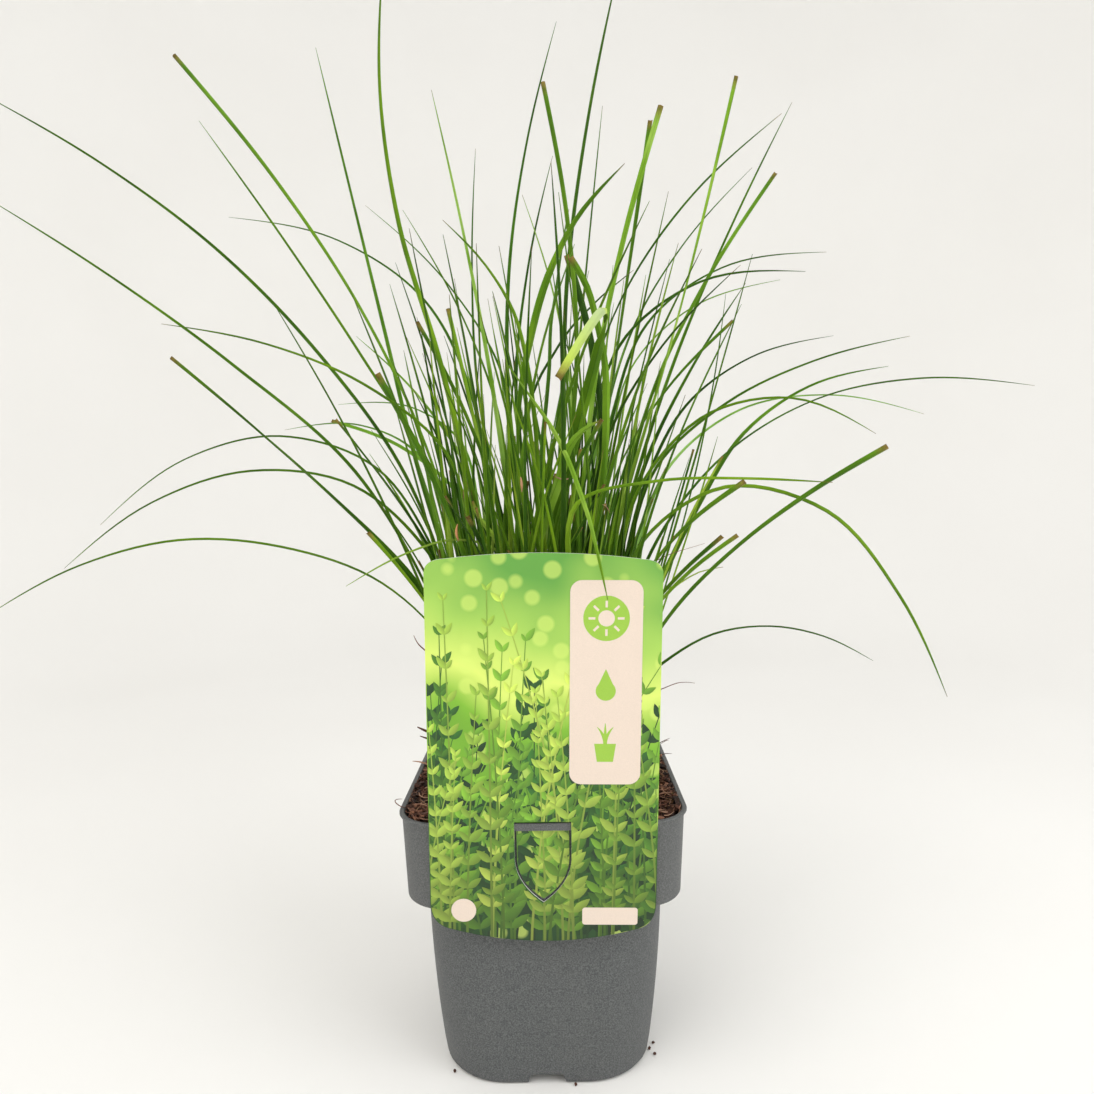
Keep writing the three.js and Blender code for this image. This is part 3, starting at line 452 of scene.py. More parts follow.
def rings_to_root(tip, shoot):
    """Walks down a blade's solid from its tip, ring by ring, to the sheath's flat top."""
    foot = Vector(shoot["foot"] * MM)
    axis = Vector(shoot["axis"])
    top = shoot["sheath"] * MM

    def on_top(corner):
        return abs((corner.co - foot).dot(axis) - top) < 0.05 * MM

    rings = [neighbours(tip)]
    seen = {tip}
    while not all(map(on_top, rings[-1])):
        seen |= rings[-1]
        below = set().union(*map(neighbours, rings[-1])) - seen
        if len(below) != 3:
            raise ValueError(f"{shoot['name']} has a blade with a ring of {len(below)} corners")
        rings.append(below)
    return [np.array([corner.co[:] for corner in ring]) / MM for ring in reversed(rings)]


def keel_of(ring):
    """The corner opposite a ring's longest side."""
    sides = [np.linalg.norm(ring[(i + 1) % 3] - ring[(i + 2) % 3]) for i in range(3)]
    return int(np.argmax(sides)), max(sides)


def blade_frame(rings, tip):
    """A blade's middle line, the way across it and its half width at each ring."""
    middles = np.array([ring.mean(0) for ring in rings] + [tip])
    widest = int(np.argmax([keel_of(ring)[1] for ring in rings]))
    centre = [None] * len(rings)
    across = [None] * len(rings)
    half = np.zeros(len(rings))
    hint = None
    for i in [*range(widest, len(rings)), *range(widest - 1, -1, -1)]:
        ring = rings[i]
        if i == widest:
            keel = keel_of(ring)[0]
        else:
            if i == widest - 1:
                hint = first_hint
            keel = int(np.argmax((ring - ring.mean(0)) @ hint))
        left, right = ring[(keel + 1) % 3], ring[(keel + 2) % 3]
        centre[i] = (left + right) / 2
        hint = unit(ring[keel] - centre[i])
        if i == widest:
            first_hint = hint
        along = middles[i + 1] - middles[max(i - 1, 0)]
        if np.dot(np.cross(right - left, along), hint) < 0:
            left, right = right, left
        across[i] = unit(right - left)
        half[i] = np.linalg.norm(right - left) / 2
    return np.array(centre), np.array(across), half


def read_blades(shoot):
    bm = bmesh.new()
    bm.from_mesh(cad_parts[shoot["name"]].data)
    bmesh.ops.remove_doubles(bm, verts=bm.verts, dist=WELD)
    blades = []
    for tip in [corner for corner in bm.verts if len(corner.link_edges) == 3]:
        rings = rings_to_root(tip, shoot)
        end = np.array(tip.co[:]) / MM
        centre, across, half = blade_frame(rings, end)
        cropped = np.linalg.norm(end - centre[-1]) < CROPPED_END / MM
        if not cropped:
            centre = np.vstack([centre, end])
            across = np.vstack([across, across[-1]])
            half = np.append(half, 0.1)
        blades.append({"centre": centre, "across": across, "half": half, "cropped": cropped})
    bm.free()
    blades.sort(key=lambda blade: tuple(np.round(blade["centre"][-1], 2)))
    return blades


def smooth_line(points, step):
    """A smooth line through points, and where each of its own points lies between them."""
    chords = np.linalg.norm(np.diff(points, axis=0), axis=1)
    slopes = np.diff(points, axis=0) / chords[:, None]
    share = (chords[1:] / (chords[1:] + chords[:-1]))[:, None]
    inner = share * slopes[:-1] + (1 - share) * slopes[1:]
    first = 1.5 * slopes[0] - 0.5 * inner[0]
    last = 1.5 * slopes[-1] - 0.5 * inner[-1]
    tangents = np.vstack([first, inner, last])
    line, places = [], []
    for i, chord in enumerate(chords):
        count = max(2, math.ceil(chord / step))
        t = (np.arange(count) / count)[:, None]
        line.append(
            (2 * t**3 - 3 * t**2 + 1) * points[i]
            + (t**3 - 2 * t**2 + t) * chord * tangents[i]
            + (3 * t**2 - 2 * t**3) * points[i + 1]
            + (t**3 - t**2) * chord * tangents[i + 1]
        )
        places.append(i + t[:, 0])
    return np.vstack([*line, points[-1:]]), np.append(np.concatenate(places), len(points) - 1)


# A blade's section, going round: share of the half width, share of the fold's depth, and share
# of the skin's thickness. It is folded along its keel and thin at its two edges.
SECTION = np.array([
    (-1.0, 0.00, 0.0),
    (-0.5, 0.32, 0.0),
    (0.0, 0.58, 0.0),
    (0.5, 0.32, 0.0),
    (1.0, 0.00, 0.0),
    (0.5, 0.32, 1.0),
    (0.0, 0.58, 1.3),
    (-0.5, 0.32, 1.0),
])
SHARP_COLUMNS = (0, 4, 6)
FOLD_DEPTH = 0.68  # of the half width
LEAST_FOLD = 0.7
# The one folded blade, which shows its pale underside from its fold to its tip.
FOLDED_BLADE_TIP = (10, -98, 314)
FOLDED_LENGTH = 47
FOLDED_SPREAD = 0.35
SPREAD = 1.08  # a blade's skin against its solid's width
# Blades with a tone and a spread of their own, by their tips.
KNOWN_BLADES = [
    (FOLDED_BLADE_TIP, 0.42, 1.08), ((15, -68, 366), 0.60, 0.90), ((39, -50, 409), 0.52, 1.08),
    ((28, -54, 302), 0.76, 1.45), ((27, -70, 301), 0.30, 0.80), ((-37, -60, 384), 0.62, 1.08),
    ((88, -40, 448), 0.80, 1.08), ((-61, -45, 498), 0.60, 1.08), ((107, -110, 274), 0.72, 1.20),
    ((-76, -84, 236), 0.82, 1.08), ((184, -40, 176), 0.60, 1.08), ((-264, -20, 217), 0.50, 1.20),
    ((-288, 30, 430), 0.50, 1.08), ((-164, -15, 474), 0.62, 1.08), ((-154, -55, 331), 0.34, 1.08),
    ((151, -50, 289), 0.44, 1.08),
]
TIP_REACH = 6


def is_tip(point, tip):
    return np.linalg.norm(point - np.array(tip)) < TIP_REACH


def blade_skin(blade, shoot, draw):
    """A blade's points in rings of eight, with the values that colour it."""
    root = blade["centre"][0]
    centre = np.vstack([[root - shoot["axis"] * depth for depth in ROOT_DEPTHS], blade["centre"]])
    across = np.vstack([[blade["across"][0]] * len(ROOT_DEPTHS), blade["across"]])
    half = np.concatenate([[blade["half"][0]] * len(ROOT_DEPTHS), blade["half"]])
    line, place = smooth_line(centre, BLADE_STEP)
    knots = np.arange(len(centre))
    widest = half[-2] if not blade["cropped"] else 0
    known = next((row for row in KNOWN_BLADES if is_tip(line[-1], row[0])), None)
    spread = known[2] if known else SPREAD
    half = np.interp(place, knots, half) * spread
    if widest:
        widest *= spread
        # A fine tip stays wide for a while and then narrows quickly.
        to_end = np.clip(place - (len(centre) - 2), 0, 1)
        half = np.where(to_end > 0, widest * (1 - to_end**1.6) + 0.1 * to_end, half)
    travel = np.concatenate([[0], np.cumsum(np.linalg.norm(np.diff(line, axis=0), axis=1))])
    to_tip = travel[-1] - travel
    if is_tip(line[-1], FOLDED_BLADE_TIP):
        # Beyond its fold the blade lies flatter, and so wider.
        folded = np.clip((FOLDED_LENGTH - to_tip) / 4, 0, 1)
        half = half * (1 + FOLDED_SPREAD * folded * np.clip(to_tip / FOLDED_LENGTH + 0.4, 0, 1))
    along = unit(np.gradient(line, axis=0))
    side = np.stack([np.interp(place, knots, across[:, k]) for k in range(3)], axis=1)
    side = unit(side - (side * along).sum(1, keepdims=True) * along)
    keelward = np.cross(side, along)
    fold = np.maximum(LEAST_FOLD, FOLD_DEPTH * half) * np.minimum(1, half / 0.5)
    skin = BLADE_SKIN * np.minimum(1, half / 0.6)
    points = (
        line[:, None]
        + side[:, None] * (half[:, None] * SECTION[:, 0])[..., None]
        + keelward[:, None] * (fold[:, None] * SECTION[:, 1] + skin[:, None] * SECTION[:, 2])[..., None]
    )
    pale = np.zeros(len(line))
    if is_tip(line[-1], FOLDED_BLADE_TIP):
        withered = 5
        pale = folded * (0.5 + 0.5 * to_tip / FOLDED_LENGTH)
    elif blade["cropped"]:
        withered = 0.3 + 1.5 * draw.random() ** 2
    else:
        withered = 14 * max(0, draw.random() - 0.5)
    dry = np.clip((withered - to_tip) / max(withered, 0.1) * 1.8, 0, 1)
    above_root = np.maximum(0, travel - ROOT_DEPTHS[0])
    cool = np.clip(0.40 + line[-1][1] / 260 + 0.16 * draw.normal(), 0, 1)
    tone = np.clip(draw.normal(0.48 + line[-1][1] / 1000, 0.23), 0.02, 0.9)
    tone = blade.get("tone", tone if known is None else known[1])
    ones = np.ones((len(line), len(SECTION)))
    return points.reshape(-1, 3), {
        "along": (above_root[:, None] / 300 * ones).ravel(),
        "across": np.tile(SECTION[:, 0], len(line)),
        "dry": (dry[:, None] * ones).ravel(),
        "tone": (tone * ones).ravel(),
        "cool": (cool * ones).ravel(),
        "pale": (pale[:, None] * ones).ravel(),
    }


def tube_faces(start, rings, count):
    """The quads of a tube of rings that all have the same count of points, and its two ends."""
    faces = []
    for ring in range(rings - 1):
        low = start + ring * count
        for i in range(count):
            j = (i + 1) % count
            faces.append((low + i, low + j, low + count + j, low + count + i))
    faces.append(tuple(start + i for i in reversed(range(count))))
    last = start + (rings - 1) * count
    faces.append(tuple(last + i for i in range(count)))
    return faces


SHEATH_SIDES = 18
# Going up the outside and down again inside the open top: height as a share of the sheath's
# length above the soil, radius in mm, and how much the three lobes of the top raise the ring.
SHEATH_PROFILE = [
    (-0.40, 2.9, 0), (-0.05, 3.0, 0), (0.15, 3.05, 0), (0.4, 2.9, 0), (0.7, 2.95, 0), (0.9, 3.1, 0.4),
    (1.0, 3.2, 1), (1.0, 2.95, 1), (0.94, 2.7, 0.4), (0.88, 1.6, 0), (0.87, 0.3, 0),
]
LOBE_HEIGHT = 2.2


def sheath_skin(shoot):
    turn = np.arange(SHEATH_SIDES) / SHEATH_SIDES * 2 * math.pi
    lobes = np.cos(3 * turn)
    points = []
    for share, radius, lobed in SHEATH_PROFILE:
        distance = share * shoot["sheath"] + lobed * LOBE_HEIGHT * (lobes - 1) / 2
        reach = radius * (1 + 0.05 * lobes)
        ring = (
            shoot["foot"]
            + shoot["axis"] * distance[:, None]
            + shoot["front"] * (np.cos(turn) * reach)[:, None]
            + shoot["side"] * (np.sin(turn) * reach)[:, None]
        )
        points.append(ring)
    height = np.repeat([max(0, share) for share, _, _ in SHEATH_PROFILE], SHEATH_SIDES)
    return np.vstack(points), height


BRACT_STEPS = 9
BRACT_ROWS = 6


def bract_skin(shoot, draw, layer):
    """A dead outer leaf base: a thin torn shell that wraps part of the way round a sheath."""
    middle = draw.random() * 2 * math.pi
    wrap = math.radians(95 + 70 * draw.random())
    length = shoot["sheath"] * (0.35 + 0.5 * draw.random())
    points = []
    for outer in (0, 1):
        radius = SHEATH_RADIUS + 0.12 + 0.3 * layer + 0.18 * outer
        for row in range(BRACT_ROWS):
            share = row / (BRACT_ROWS - 1)
            for step in range(BRACT_STEPS):
                aside = 2 * step / (BRACT_STEPS - 1) - 1
                turn = middle + wrap * aside * (1 - 0.72 * share**2)
                reach = radius + 0.9 * share**3
                distance = -3 + (length + 3) * share * (1 - 0.1 * abs(aside))
                points.append(
                    shoot["foot"]
                    + shoot["axis"] * distance
                    + shoot["front"] * math.cos(turn) * reach
                    + shoot["side"] * math.sin(turn) * reach
                )
    return np.array(points)


def shell_faces(start, rows, columns):
    """The faces of two alike grids, one behind the other, joined round their edges."""
    def at(layer, row, column):
        return start + (layer * rows + row) * columns + column

    faces = []
    for row in range(rows - 1):
        for column in range(columns - 1):
            quad = [(row, column), (row, column + 1), (row + 1, column + 1), (row + 1, column)]
            faces.append(tuple(at(1, *corner) for corner in quad))
            faces.append(tuple(at(0, *corner) for corner in reversed(quad)))
    edge = [(0, c) for c in range(columns)] + [(r, columns - 1) for r in range(1, rows)]
    edge += [(rows - 1, c) for c in range(columns - 2, -1, -1)] + [(r, 0) for r in range(rows - 2, 0, -1)]
    for here, after in zip(edge, edge[1:] + edge[:1]):
        faces.append((at(1, *after), at(1, *here), at(0, *here), at(0, *after)))
    return faces


def sharpen_blade_edges(mesh):
    """Keeps the two edges and the keel of every blade crisp."""
    ends = np.empty(len(mesh.edges) * 2, np.int32)
    mesh.edges.foreach_get("vertices", ends)
    columns = ends.reshape(-1, 2) % len(SECTION)
    sharp = (columns[:, 0] == columns[:, 1]) & np.isin(columns[:, 0], SHARP_COLUMNS)
    layer = mesh.attributes.new("sharp_edge", "BOOLEAN", "EDGE")
    layer.data.foreach_set("value", sharp)


def add_blades(name, skins, stands_for=()):
    """One piece from the skins of several blades, each with its points and its values."""
    faces = []
    start = 0
    for skin, _ in skins:
        faces += tube_faces(start, len(skin) // len(SECTION), len(SECTION))
        start += len(skin)
    points = np.vstack([skin for skin, _ in skins])
    values = {key: np.concatenate([numbers[key] for _, numbers in skins]) for key in skins[0][1]}
    blades = add_piece(name, points, faces, [LEAF], "leaf", stands_for, values)
    point_normals_outwards(blades)
    sharpen_blade_edges(blades.data)


def build_shoot(shoot, index):
    draw = np.random.default_rng(CLUMP_SEED + index)
    skins = [blade_skin(blade, shoot, draw) for blade in read_blades(shoot)]
    add_blades(shoot["name"] + "_blades", skins, [shoot["name"]])

    sheath, height = sheath_skin(shoot)
    faces = tube_faces(0, len(SHEATH_PROFILE), SHEATH_SIDES)
    piece = add_piece(shoot["name"] + "_sheath", sheath, faces, [SHEATH], "leaf",
                      [shoot["name"]], {"along": height})
    point_normals_outwards(piece)

    points, faces = [], []
    for layer in range(1 + int(draw.random() < 0.6)):
        faces += shell_faces(len(points) * 2 * BRACT_ROWS * BRACT_STEPS, BRACT_ROWS, BRACT_STEPS)
        points.append(bract_skin(shoot, draw, layer))
    piece = add_piece(shoot["name"] + "_bracts", np.vstack(points), faces, [BRACT], "leaf")
    point_normals_outwards(piece)


# Thin blades among the others: width, tone, how its width runs, and points from root to tip. The
# points are readings in the photograph that a scratch script turned into millimetres, as are the
# tips of KNOWN_BLADES and the places of several of the LOOSE_THREADS.
FINE_BLADES = [
    (2.2, 0.78, "cropped", [
        (-12, -22, 215), (-17, -32, 240), (-20, -40, 252), (-26, -40, 260), (-29.5, -40, 268),
    ]),
    (1.0, 0.86, "pointed", [
        (45, 6, 200), (58, 9, 213), (71, 10, 223.7), (81, 10, 229.2), (93, 10, 231.5),
    ]),
    (1.8, 0.78, "loose", [
        (-6.7, -52, 318.7), (-0.4, -55, 309.4), (5.8, -58, 300), (12.3, -63, 287),
        (17.3, -72, 272.5), (21.6, -78, 258.3), (24.2, -79, 246.4), (28, -79, 228),
    ]),
    (2.0, 0.46, "pointed", [
        (1, -5, 282), (2, 0, 297), (4, 5, 314), (6, 8, 334), (7, 10, 354), (10, 12, 372), (13, 14, 392),
        (17, 15, 412),
    ]),
    (1.3, 0.20, "pointed", [
        (-7, 0, 307), (-2, 5, 321), (2, 8, 330), (8, 12, 340), (13, 14, 348), (20, 16, 357),
        (27, 18, 364), (33, 20, 370), (40, 22, 376), (50, 24, 384),
    ]),
]
FINE_BLADE_START = 0.3  # of the way along, because their brown bases don't show


def fine_blade(width, tone, kind, points):
    share = np.linspace(0, 1, len(points))
    if kind == "loose":
        half = width / 2 * np.sin(math.pi * (0.12 + 0.78 * share))
    else:
        half = width / 2 * (1 - (0.3 if kind == "cropped" else 0.7) * share**2)
    points = np.array(points, float)
    along = unit(np.gradient(points, axis=0))
    across = unit(np.cross(along, (0, -1, 0)))
    return {"centre": points, "across": across, "half": half, "cropped": kind == "cropped", "tone": tone}


def build_fine_blades():
    draw = np.random.default_rng(CLUMP_SEED - 1)
    skins = []
    for row in FINE_BLADES:
        blade = fine_blade(*row)
        root = {"axis": unit(blade["centre"][1] - blade["centre"][0])}
        skin, values = blade_skin(blade, root, draw)
        values["along"] += FINE_BLADE_START
        skins.append((skin, values))
    add_blades("fine_blades", skins)


def build_clump():
    for index, shoot in enumerate(clump_shoots()):
        build_shoot(shoot, index)
    build_fine_blades()


# ------------------------------------------------------------------ the pot


def square_ring(width, corner, z, steps=CORNER_STEPS):
    ring = []
    centre = width / 2 - corner
    for quarter, (sign_x, sign_y) in enumerate([(1, 1), (-1, 1), (-1, -1), (1, -1)]):
        for step in range(steps + 1):
            angle = (quarter + step / steps) * math.pi / 2
            ring.append((sign_x * centre + corner * math.cos(angle),
                         sign_y * centre + corner * math.sin(angle), z))
    return ring


def fillet(across_from, z_from, across_to, z_to, steps=5):
    """A quarter of an ellipse between two places of a profile, leaving the first one upright."""
    places = []
    for step in range(steps + 1):
        angle = step / steps * math.pi / 2
        across = across_from + (across_to - across_from) * (1 - math.cos(angle))
        places.append((across, z_from + (z_to - z_from) * math.sin(angle)))
    return places


def scratch(points, faces):
    made = make_object("scratch", points, faces)
    point_normals_outwards(made)
    return made


def use_up(made):
    """A scratch object's points in millimetres and its faces. The object goes."""
    points = np.array([corner.co[:] for corner in made.data.vertices]) / MM
    faces = [tuple(polygon.vertices) for polygon in made.data.polygons]
    bpy.data.objects.remove(made)
    return points, faces


def turned_prism(points, side):
    """A prism between two alike ends, turned to one of the pot's four sides."""
    turn = Matrix.Rotation(side * math.pi / 2, 3, "Z")
    return scratch([(turn @ Vector(point))[:] for point in points], tube_faces(0, 2, len(points) // 2))


def cut(target, tool, operation="DIFFERENCE"):
    """Cuts or joins a scratch object by another, which is used up."""
    modifier = target.modifiers.new("cut", "BOOLEAN")
    modifier.operation = operation
    modifier.solver = "EXACT"
    modifier.object = tool
    bpy.context.view_layer.update()
    graph = bpy.context.evaluated_depsgraph_get()
    done = bpy.data.meshes.new_from_object(target.evaluated_get(graph))
    target.modifiers.clear()
    target.data = done
    bpy.data.objects.remove(tool)
    return target


def body_profile(inset, floor_z, top_z):
    """The tapered body's widths from its foot up, bowed a little outwards."""
    places = []
    if inset:
        places.append((BODY_FOOT_WIDTH - 2 * inset, floor_z))
    else:
        narrow = BODY_FOOT_WIDTH - 2 * FOOT_FILLET
        arc = fillet(BODY_FOOT_WIDTH + 0.3, FOOT_FILLET, narrow, 0)
        places += reversed(arc)
    for step in range(1, 13):
        z = FOOT_FILLET + (top_z - FOOT_FILLET) * step / 12
        share = z / COLLAR_FOOT_Z
        bow = 4 * (BODY_MIDDLE_WIDTH - (BODY_FOOT_WIDTH + BODY_TOP_WIDTH) / 2)
        width = BODY_FOOT_WIDTH + share * (BODY_TOP_WIDTH - BODY_FOOT_WIDTH) + bow * share * (1 - share)
        places.append((width - 2 * inset, z))
    return places


def rounded_rings(profile, corner, inset=0):
    return [square_ring(width, corner - inset, z) for width, z in profile]


def collar_rings(profile, inset=0):
    """Rings whose corners widen with the rim, so that it stands out equally all round."""
    return [square_ring(width, COLLAR_CORNER - inset + max(0, width - COLLAR_TOP_WIDTH) / 2, z)
            for width, z in profile]


def rings_object(rings):
    return scratch(np.vstack(rings), tube_faces(0, len(rings), len(rings[0])))


def collar_profile():
    under = POT_HEIGHT - RIM_THICKNESS
    foot_narrow = COLLAR_FOOT_WIDTH - 2 * COLLAR_FILLET
    places = fillet(COLLAR_FOOT_WIDTH, COLLAR_FOOT_Z + COLLAR_FILLET, foot_narrow, COLLAR_FOOT_Z, 6)[::-1]
    places += [(COLLAR_TOP_WIDTH - 0.04, under - 0.8), (COLLAR_TOP_WIDTH + 0.3, under - 0.2)]
    edge = 0.4
    narrow = RIM_WIDTH - 2 * edge
    places.append((COLLAR_TOP_WIDTH + 0.8, under))
    places += fillet(RIM_WIDTH, under + edge, narrow, under, 4)[::-1]
    places += fillet(RIM_WIDTH, POT_HEIGHT - edge, narrow, POT_HEIGHT, 4)
    return places


def channel_object(inset, side):
    foot = CHANNEL_WIDTH / 2 + inset
    roof = CHANNEL_ROOF_WIDTH / 2 + inset
    top = CHANNEL_HEIGHT + inset
    ends = (CHANNEL_INNER_END - inset, RIM_WIDTH / 2)
    points = []
    for x in ends:
        points += [(x, -foot, -1), (x, foot, -1), (x, roof + 0.4, top - 0.8), (x, roof - 0.6, top),
                   (x, 0.6 - roof, top), (x, -roof - 0.4, top - 0.8)]
    return turned_prism(points, side)


def drain_object(side):
    turn = np.arange(20) / 20 * 2 * math.pi
    points = []
    for z in (-2 * CHANNEL_HEIGHT, 2 * CHANNEL_HEIGHT):
        points += [(DRAIN_PLACE + DRAIN_RADIUS * math.cos(t), DRAIN_RADIUS * math.sin(t), z) for t in turn]
    return turned_prism(points, side)


def box_object(low, high):
    points = [(x, y, z) for z in (low[2], high[2])
              for x, y in ((low[0], low[1]), (high[0], low[1]), (high[0], high[1]), (low[0], high[1]))]
    return scratch(points, tube_faces(0, 2, 4))


def build_pot():
    outside = rings_object(rounded_rings(body_profile(0, 0, COLLAR_FOOT_Z + 2), BODY_CORNER))
    cut(outside, rings_object(collar_rings(collar_profile())), "UNION")
    strap_low = (-STRAP_WIDTH / 2, -RIM_WIDTH / 2, POT_HEIGHT - STRAP_HEIGHT)
    strap_high = (STRAP_WIDTH / 2, -(COLLAR_TOP_WIDTH / 2 - WALL / 2), POT_HEIGHT)
    cut(outside, box_object(strap_low, strap_high), "UNION")
    step_top = COLLAR_FOOT_Z + WALL
    hollow = rings_object(rounded_rings(body_profile(WALL, WALL, step_top + 1), BODY_CORNER, WALL))
    bevel = COLLAR_FILLET - (2 - math.sqrt(2)) * WALL
    inner_foot = COLLAR_FOOT_WIDTH - 2 * WALL
    inner_top = COLLAR_TOP_WIDTH - 2 * WALL
    lip = 0.4
    upper = [
        (inner_foot - 2 * bevel, step_top),
        (inner_foot, step_top + bevel),
        (inner_top, POT_HEIGHT - lip),
        (inner_top + 2 * lip, POT_HEIGHT + 0.01),
        (inner_top + 2 * lip, POT_HEIGHT + 1),
    ]
    cut(hollow, rings_object(collar_rings(upper, WALL)), "UNION")
    step = SLOT_WIDTH / 2 + WALL
    cut(hollow, box_object((-step, -RIM_WIDTH / 2, COLLAR_FOOT_Z), (step, WALL - SLOT_INNER, POT_HEIGHT + 2)))
    for side in range(4):
        cut(hollow, channel_object(WALL, side))
    cut(outside, hollow)
    for side in range(4):
        cut(outside, channel_object(0, side))
        cut(outside, drain_object(side))
    half = SLOT_WIDTH / 2
    slot_low = (-half, -(RIM_WIDTH / 2 - STRAP_THICKNESS), COLLAR_FOOT_Z + COLLAR_FILLET)
    slot_high = (half, -SLOT_INNER, POT_HEIGHT + 1)
    cut(outside, box_object(slot_low, slot_high))
    pot = add_piece("pot_shell", *use_up(outside), [POT], "pot_plastic", ["pot"])
    mark_sharp(pot, 32)


# ------------------------------------------------------------------ the soil

SOIL_SEED = 77
CHIP_COUNT = 2300
CRUMB_COUNT = 2600
FIBRE_COUNT = 1500
HEAP_FROM = 0.76  # of the way out from the pot's middle, where loose bits start to pile up
HEAP_RISE = 6.6
WALL_CLEARANCE = 0.5
BIG_CHIPS = [(-59.5, 7, 128.6), (-59, 19, 128.8), (57, -31, 127), (-54, -48, 127)]
BIG_CHIP_SIZE = (4.6, 2.6, 1.3)
FRESHLY_BROKEN = 1.35  # a tone
FOOT_CRUMB_SIZE = 0.6
FOOT_CRUMB_Z = 0.9
ABOVE_SOIL = 0.3  # metres: where rays down to the soil start


def soil_surface():
    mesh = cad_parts["soil"].data
    return BVHTree.FromPolygons([v.co[:] for v in mesh.vertices], [p.vertices[:] for p in mesh.polygons])


def random_turn(draw):
    """A turn about any axis."""
    quarter = draw.normal(size=4)
    w, x, y, z = quarter / np.linalg.norm(quarter)
    return np.array([
        [1 - 2 * (y * y + z * z), 2 * (x * y - z * w), 2 * (x * z + y * w)],
        [2 * (x * y + z * w), 1 - 2 * (x * x + z * z), 2 * (y * z - x * w)],
        [2 * (x * z - y * w), 2 * (y * z + x * w), 1 - 2 * (x * x + y * y)],
    ])


def flat_turn(draw, tilt):
    """A turn about Z, and then a small one about a level axis."""
    a, b = draw.random() * 2 * math.pi, draw.normal() * tilt
    c = draw.random() * 2 * math.pi
    around = Matrix.Rotation(b, 3, Vector((math.cos(c), math.sin(c), 0))) @ Matrix.Rotation(a, 3, "Z")
    return np.array(around)


def places_on_soil(draw, count, surface, margin, shoots):
    """Seeded places on the soil, inside the pot and clear of the shoots."""
    reach = COLLAR_TOP_WIDTH / 2 - WALL - margin
    corner = COLLAR_CORNER - WALL - margin
    feet = np.array([shoot["foot"][:2] for shoot in shoots])
    found = []
    while len(found) < count:
        x, y = draw.uniform(-reach, reach, 2)
        over = np.maximum(np.abs([x, y]) - (reach - corner), 0)
        if np.hypot(*over) > corner:
            continue
        if np.hypot(feet[:, 0] - x, feet[:, 1] - y).min() < SHEATH_RADIUS + margin / 2:
            continue
        hit = surface.ray_cast(Vector((x * MM, y * MM, ABOVE_SOIL)), Vector((0, 0, -1)))[0]
        if hit:
            out = (max(abs(x), abs(y)) / reach - HEAP_FROM) / (1 - HEAP_FROM)
            found.append((x, y, hit.z / MM + HEAP_RISE * max(0, out) * math.sqrt(draw.random())))
    return found


CHIP_CORNERS = np.array([(x, y, z) for z in (-1, 1) for x, y in ((-1, -1), (1, -1), (1, 1), (-1, 1))])


def add_bits(name, bits, material, smooth=False):
    """One piece from many bits, each with its points, its faces from 0 on and its tone."""
    points, faces, tones = [], [], []
    start = 0
    for corners, sides, tone in bits:
        faces += [tuple(start + corner for corner in side) for side in sides]
        points.append(corners)
        tones += [tone] * len(corners)
        start += len(corners)
    piece = add_piece(name, np.vstack(points), faces, [material], "potting_soil", values={"tone": tones},
                      smooth=smooth)
    point_normals_outwards(piece)


def chip(draw, size, turn, place, tone):
    """A broken block with uneven corners."""
    corners = CHIP_CORNERS * size * draw.uniform(0.5, 1.1, (8, 3))
    corners = off_the_wall(corners @ turn.T + place)
    return corners, tube_faces(0, 2, 4), tone


def build_soil(shoots):
    draw = np.random.default_rng(SOIL_SEED)
    surface = soil_surface()
    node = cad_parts["soil"]
    node.data.materials.clear()
    node.data.materials.append(SOIL)

    bits = [chip(draw, BIG_CHIP_SIZE, flat_turn(draw, 0.3), place, FRESHLY_BROKEN) for place in BIG_CHIPS]
    for x, y, z in places_on_soil(draw, CHIP_COUNT, surface, 1.2, shoots):
        size = (1.1 + 2.6 * draw.random() ** 2, 0.6 + 1.0 * draw.random(), 0.3 + 0.4 * draw.random())
        place = (x, y, z + 0.3 + 1.2 * draw.random())
        bits.append(chip(draw, size, flat_turn(draw, 0.5), place, 1.15 * draw.random() ** 1.5))
    add_bits("soil_bark_chips", bits, BARK)

    bits = []
    for x, y, z in places_on_soil(draw, CRUMB_COUNT, surface, 1.6, shoots):
        size = (0.4 + 0.9 * draw.random() ** 2) * draw.uniform(0.6, 1.2, 3)
        bits.append(chip(draw, size, random_turn(draw), (x, y, z + 0.8 * draw.random()), 0.7 * draw.random()))
    for x, y in FOOT_CRUMBS:
        size = np.full(3, FOOT_CRUMB_SIZE)
        bits.append(chip(draw, size, random_turn(draw), (x, y, FOOT_CRUMB_Z), 0.4))
    add_bits("soil_crumbs", bits, BARK)

    bits = []
    for x, y, z in places_on_soil(draw, FIBRE_COUNT, surface, 1.5, shoots):
        line = fibre_line(draw, np.array([x, y, z + 1.0 + 1.8 * draw.random()]))
        radius = 0.16 + 0.26 * draw.random() ** 2
        bits.append((thread_skin(line, radius, 4), tube_faces(0, len(line), 4), draw.random()))
    for radius, tone, line in LOOSE_THREADS:
        line = smooth_line(np.array(line, float), 1)[0]
        bits.append((thread_skin(line, radius, 6), tube_faces(0, len(line), 6), tone))
    add_bits("soil_fibres", bits, FIBRE, smooth=True)


# Crumbs of soil on the ground at the pot's foot.
FOOT_CRUMBS = [(-43.6, -41), (13, -50.5), (49.5, -27), (51.5, -31), (51.8, -23)]
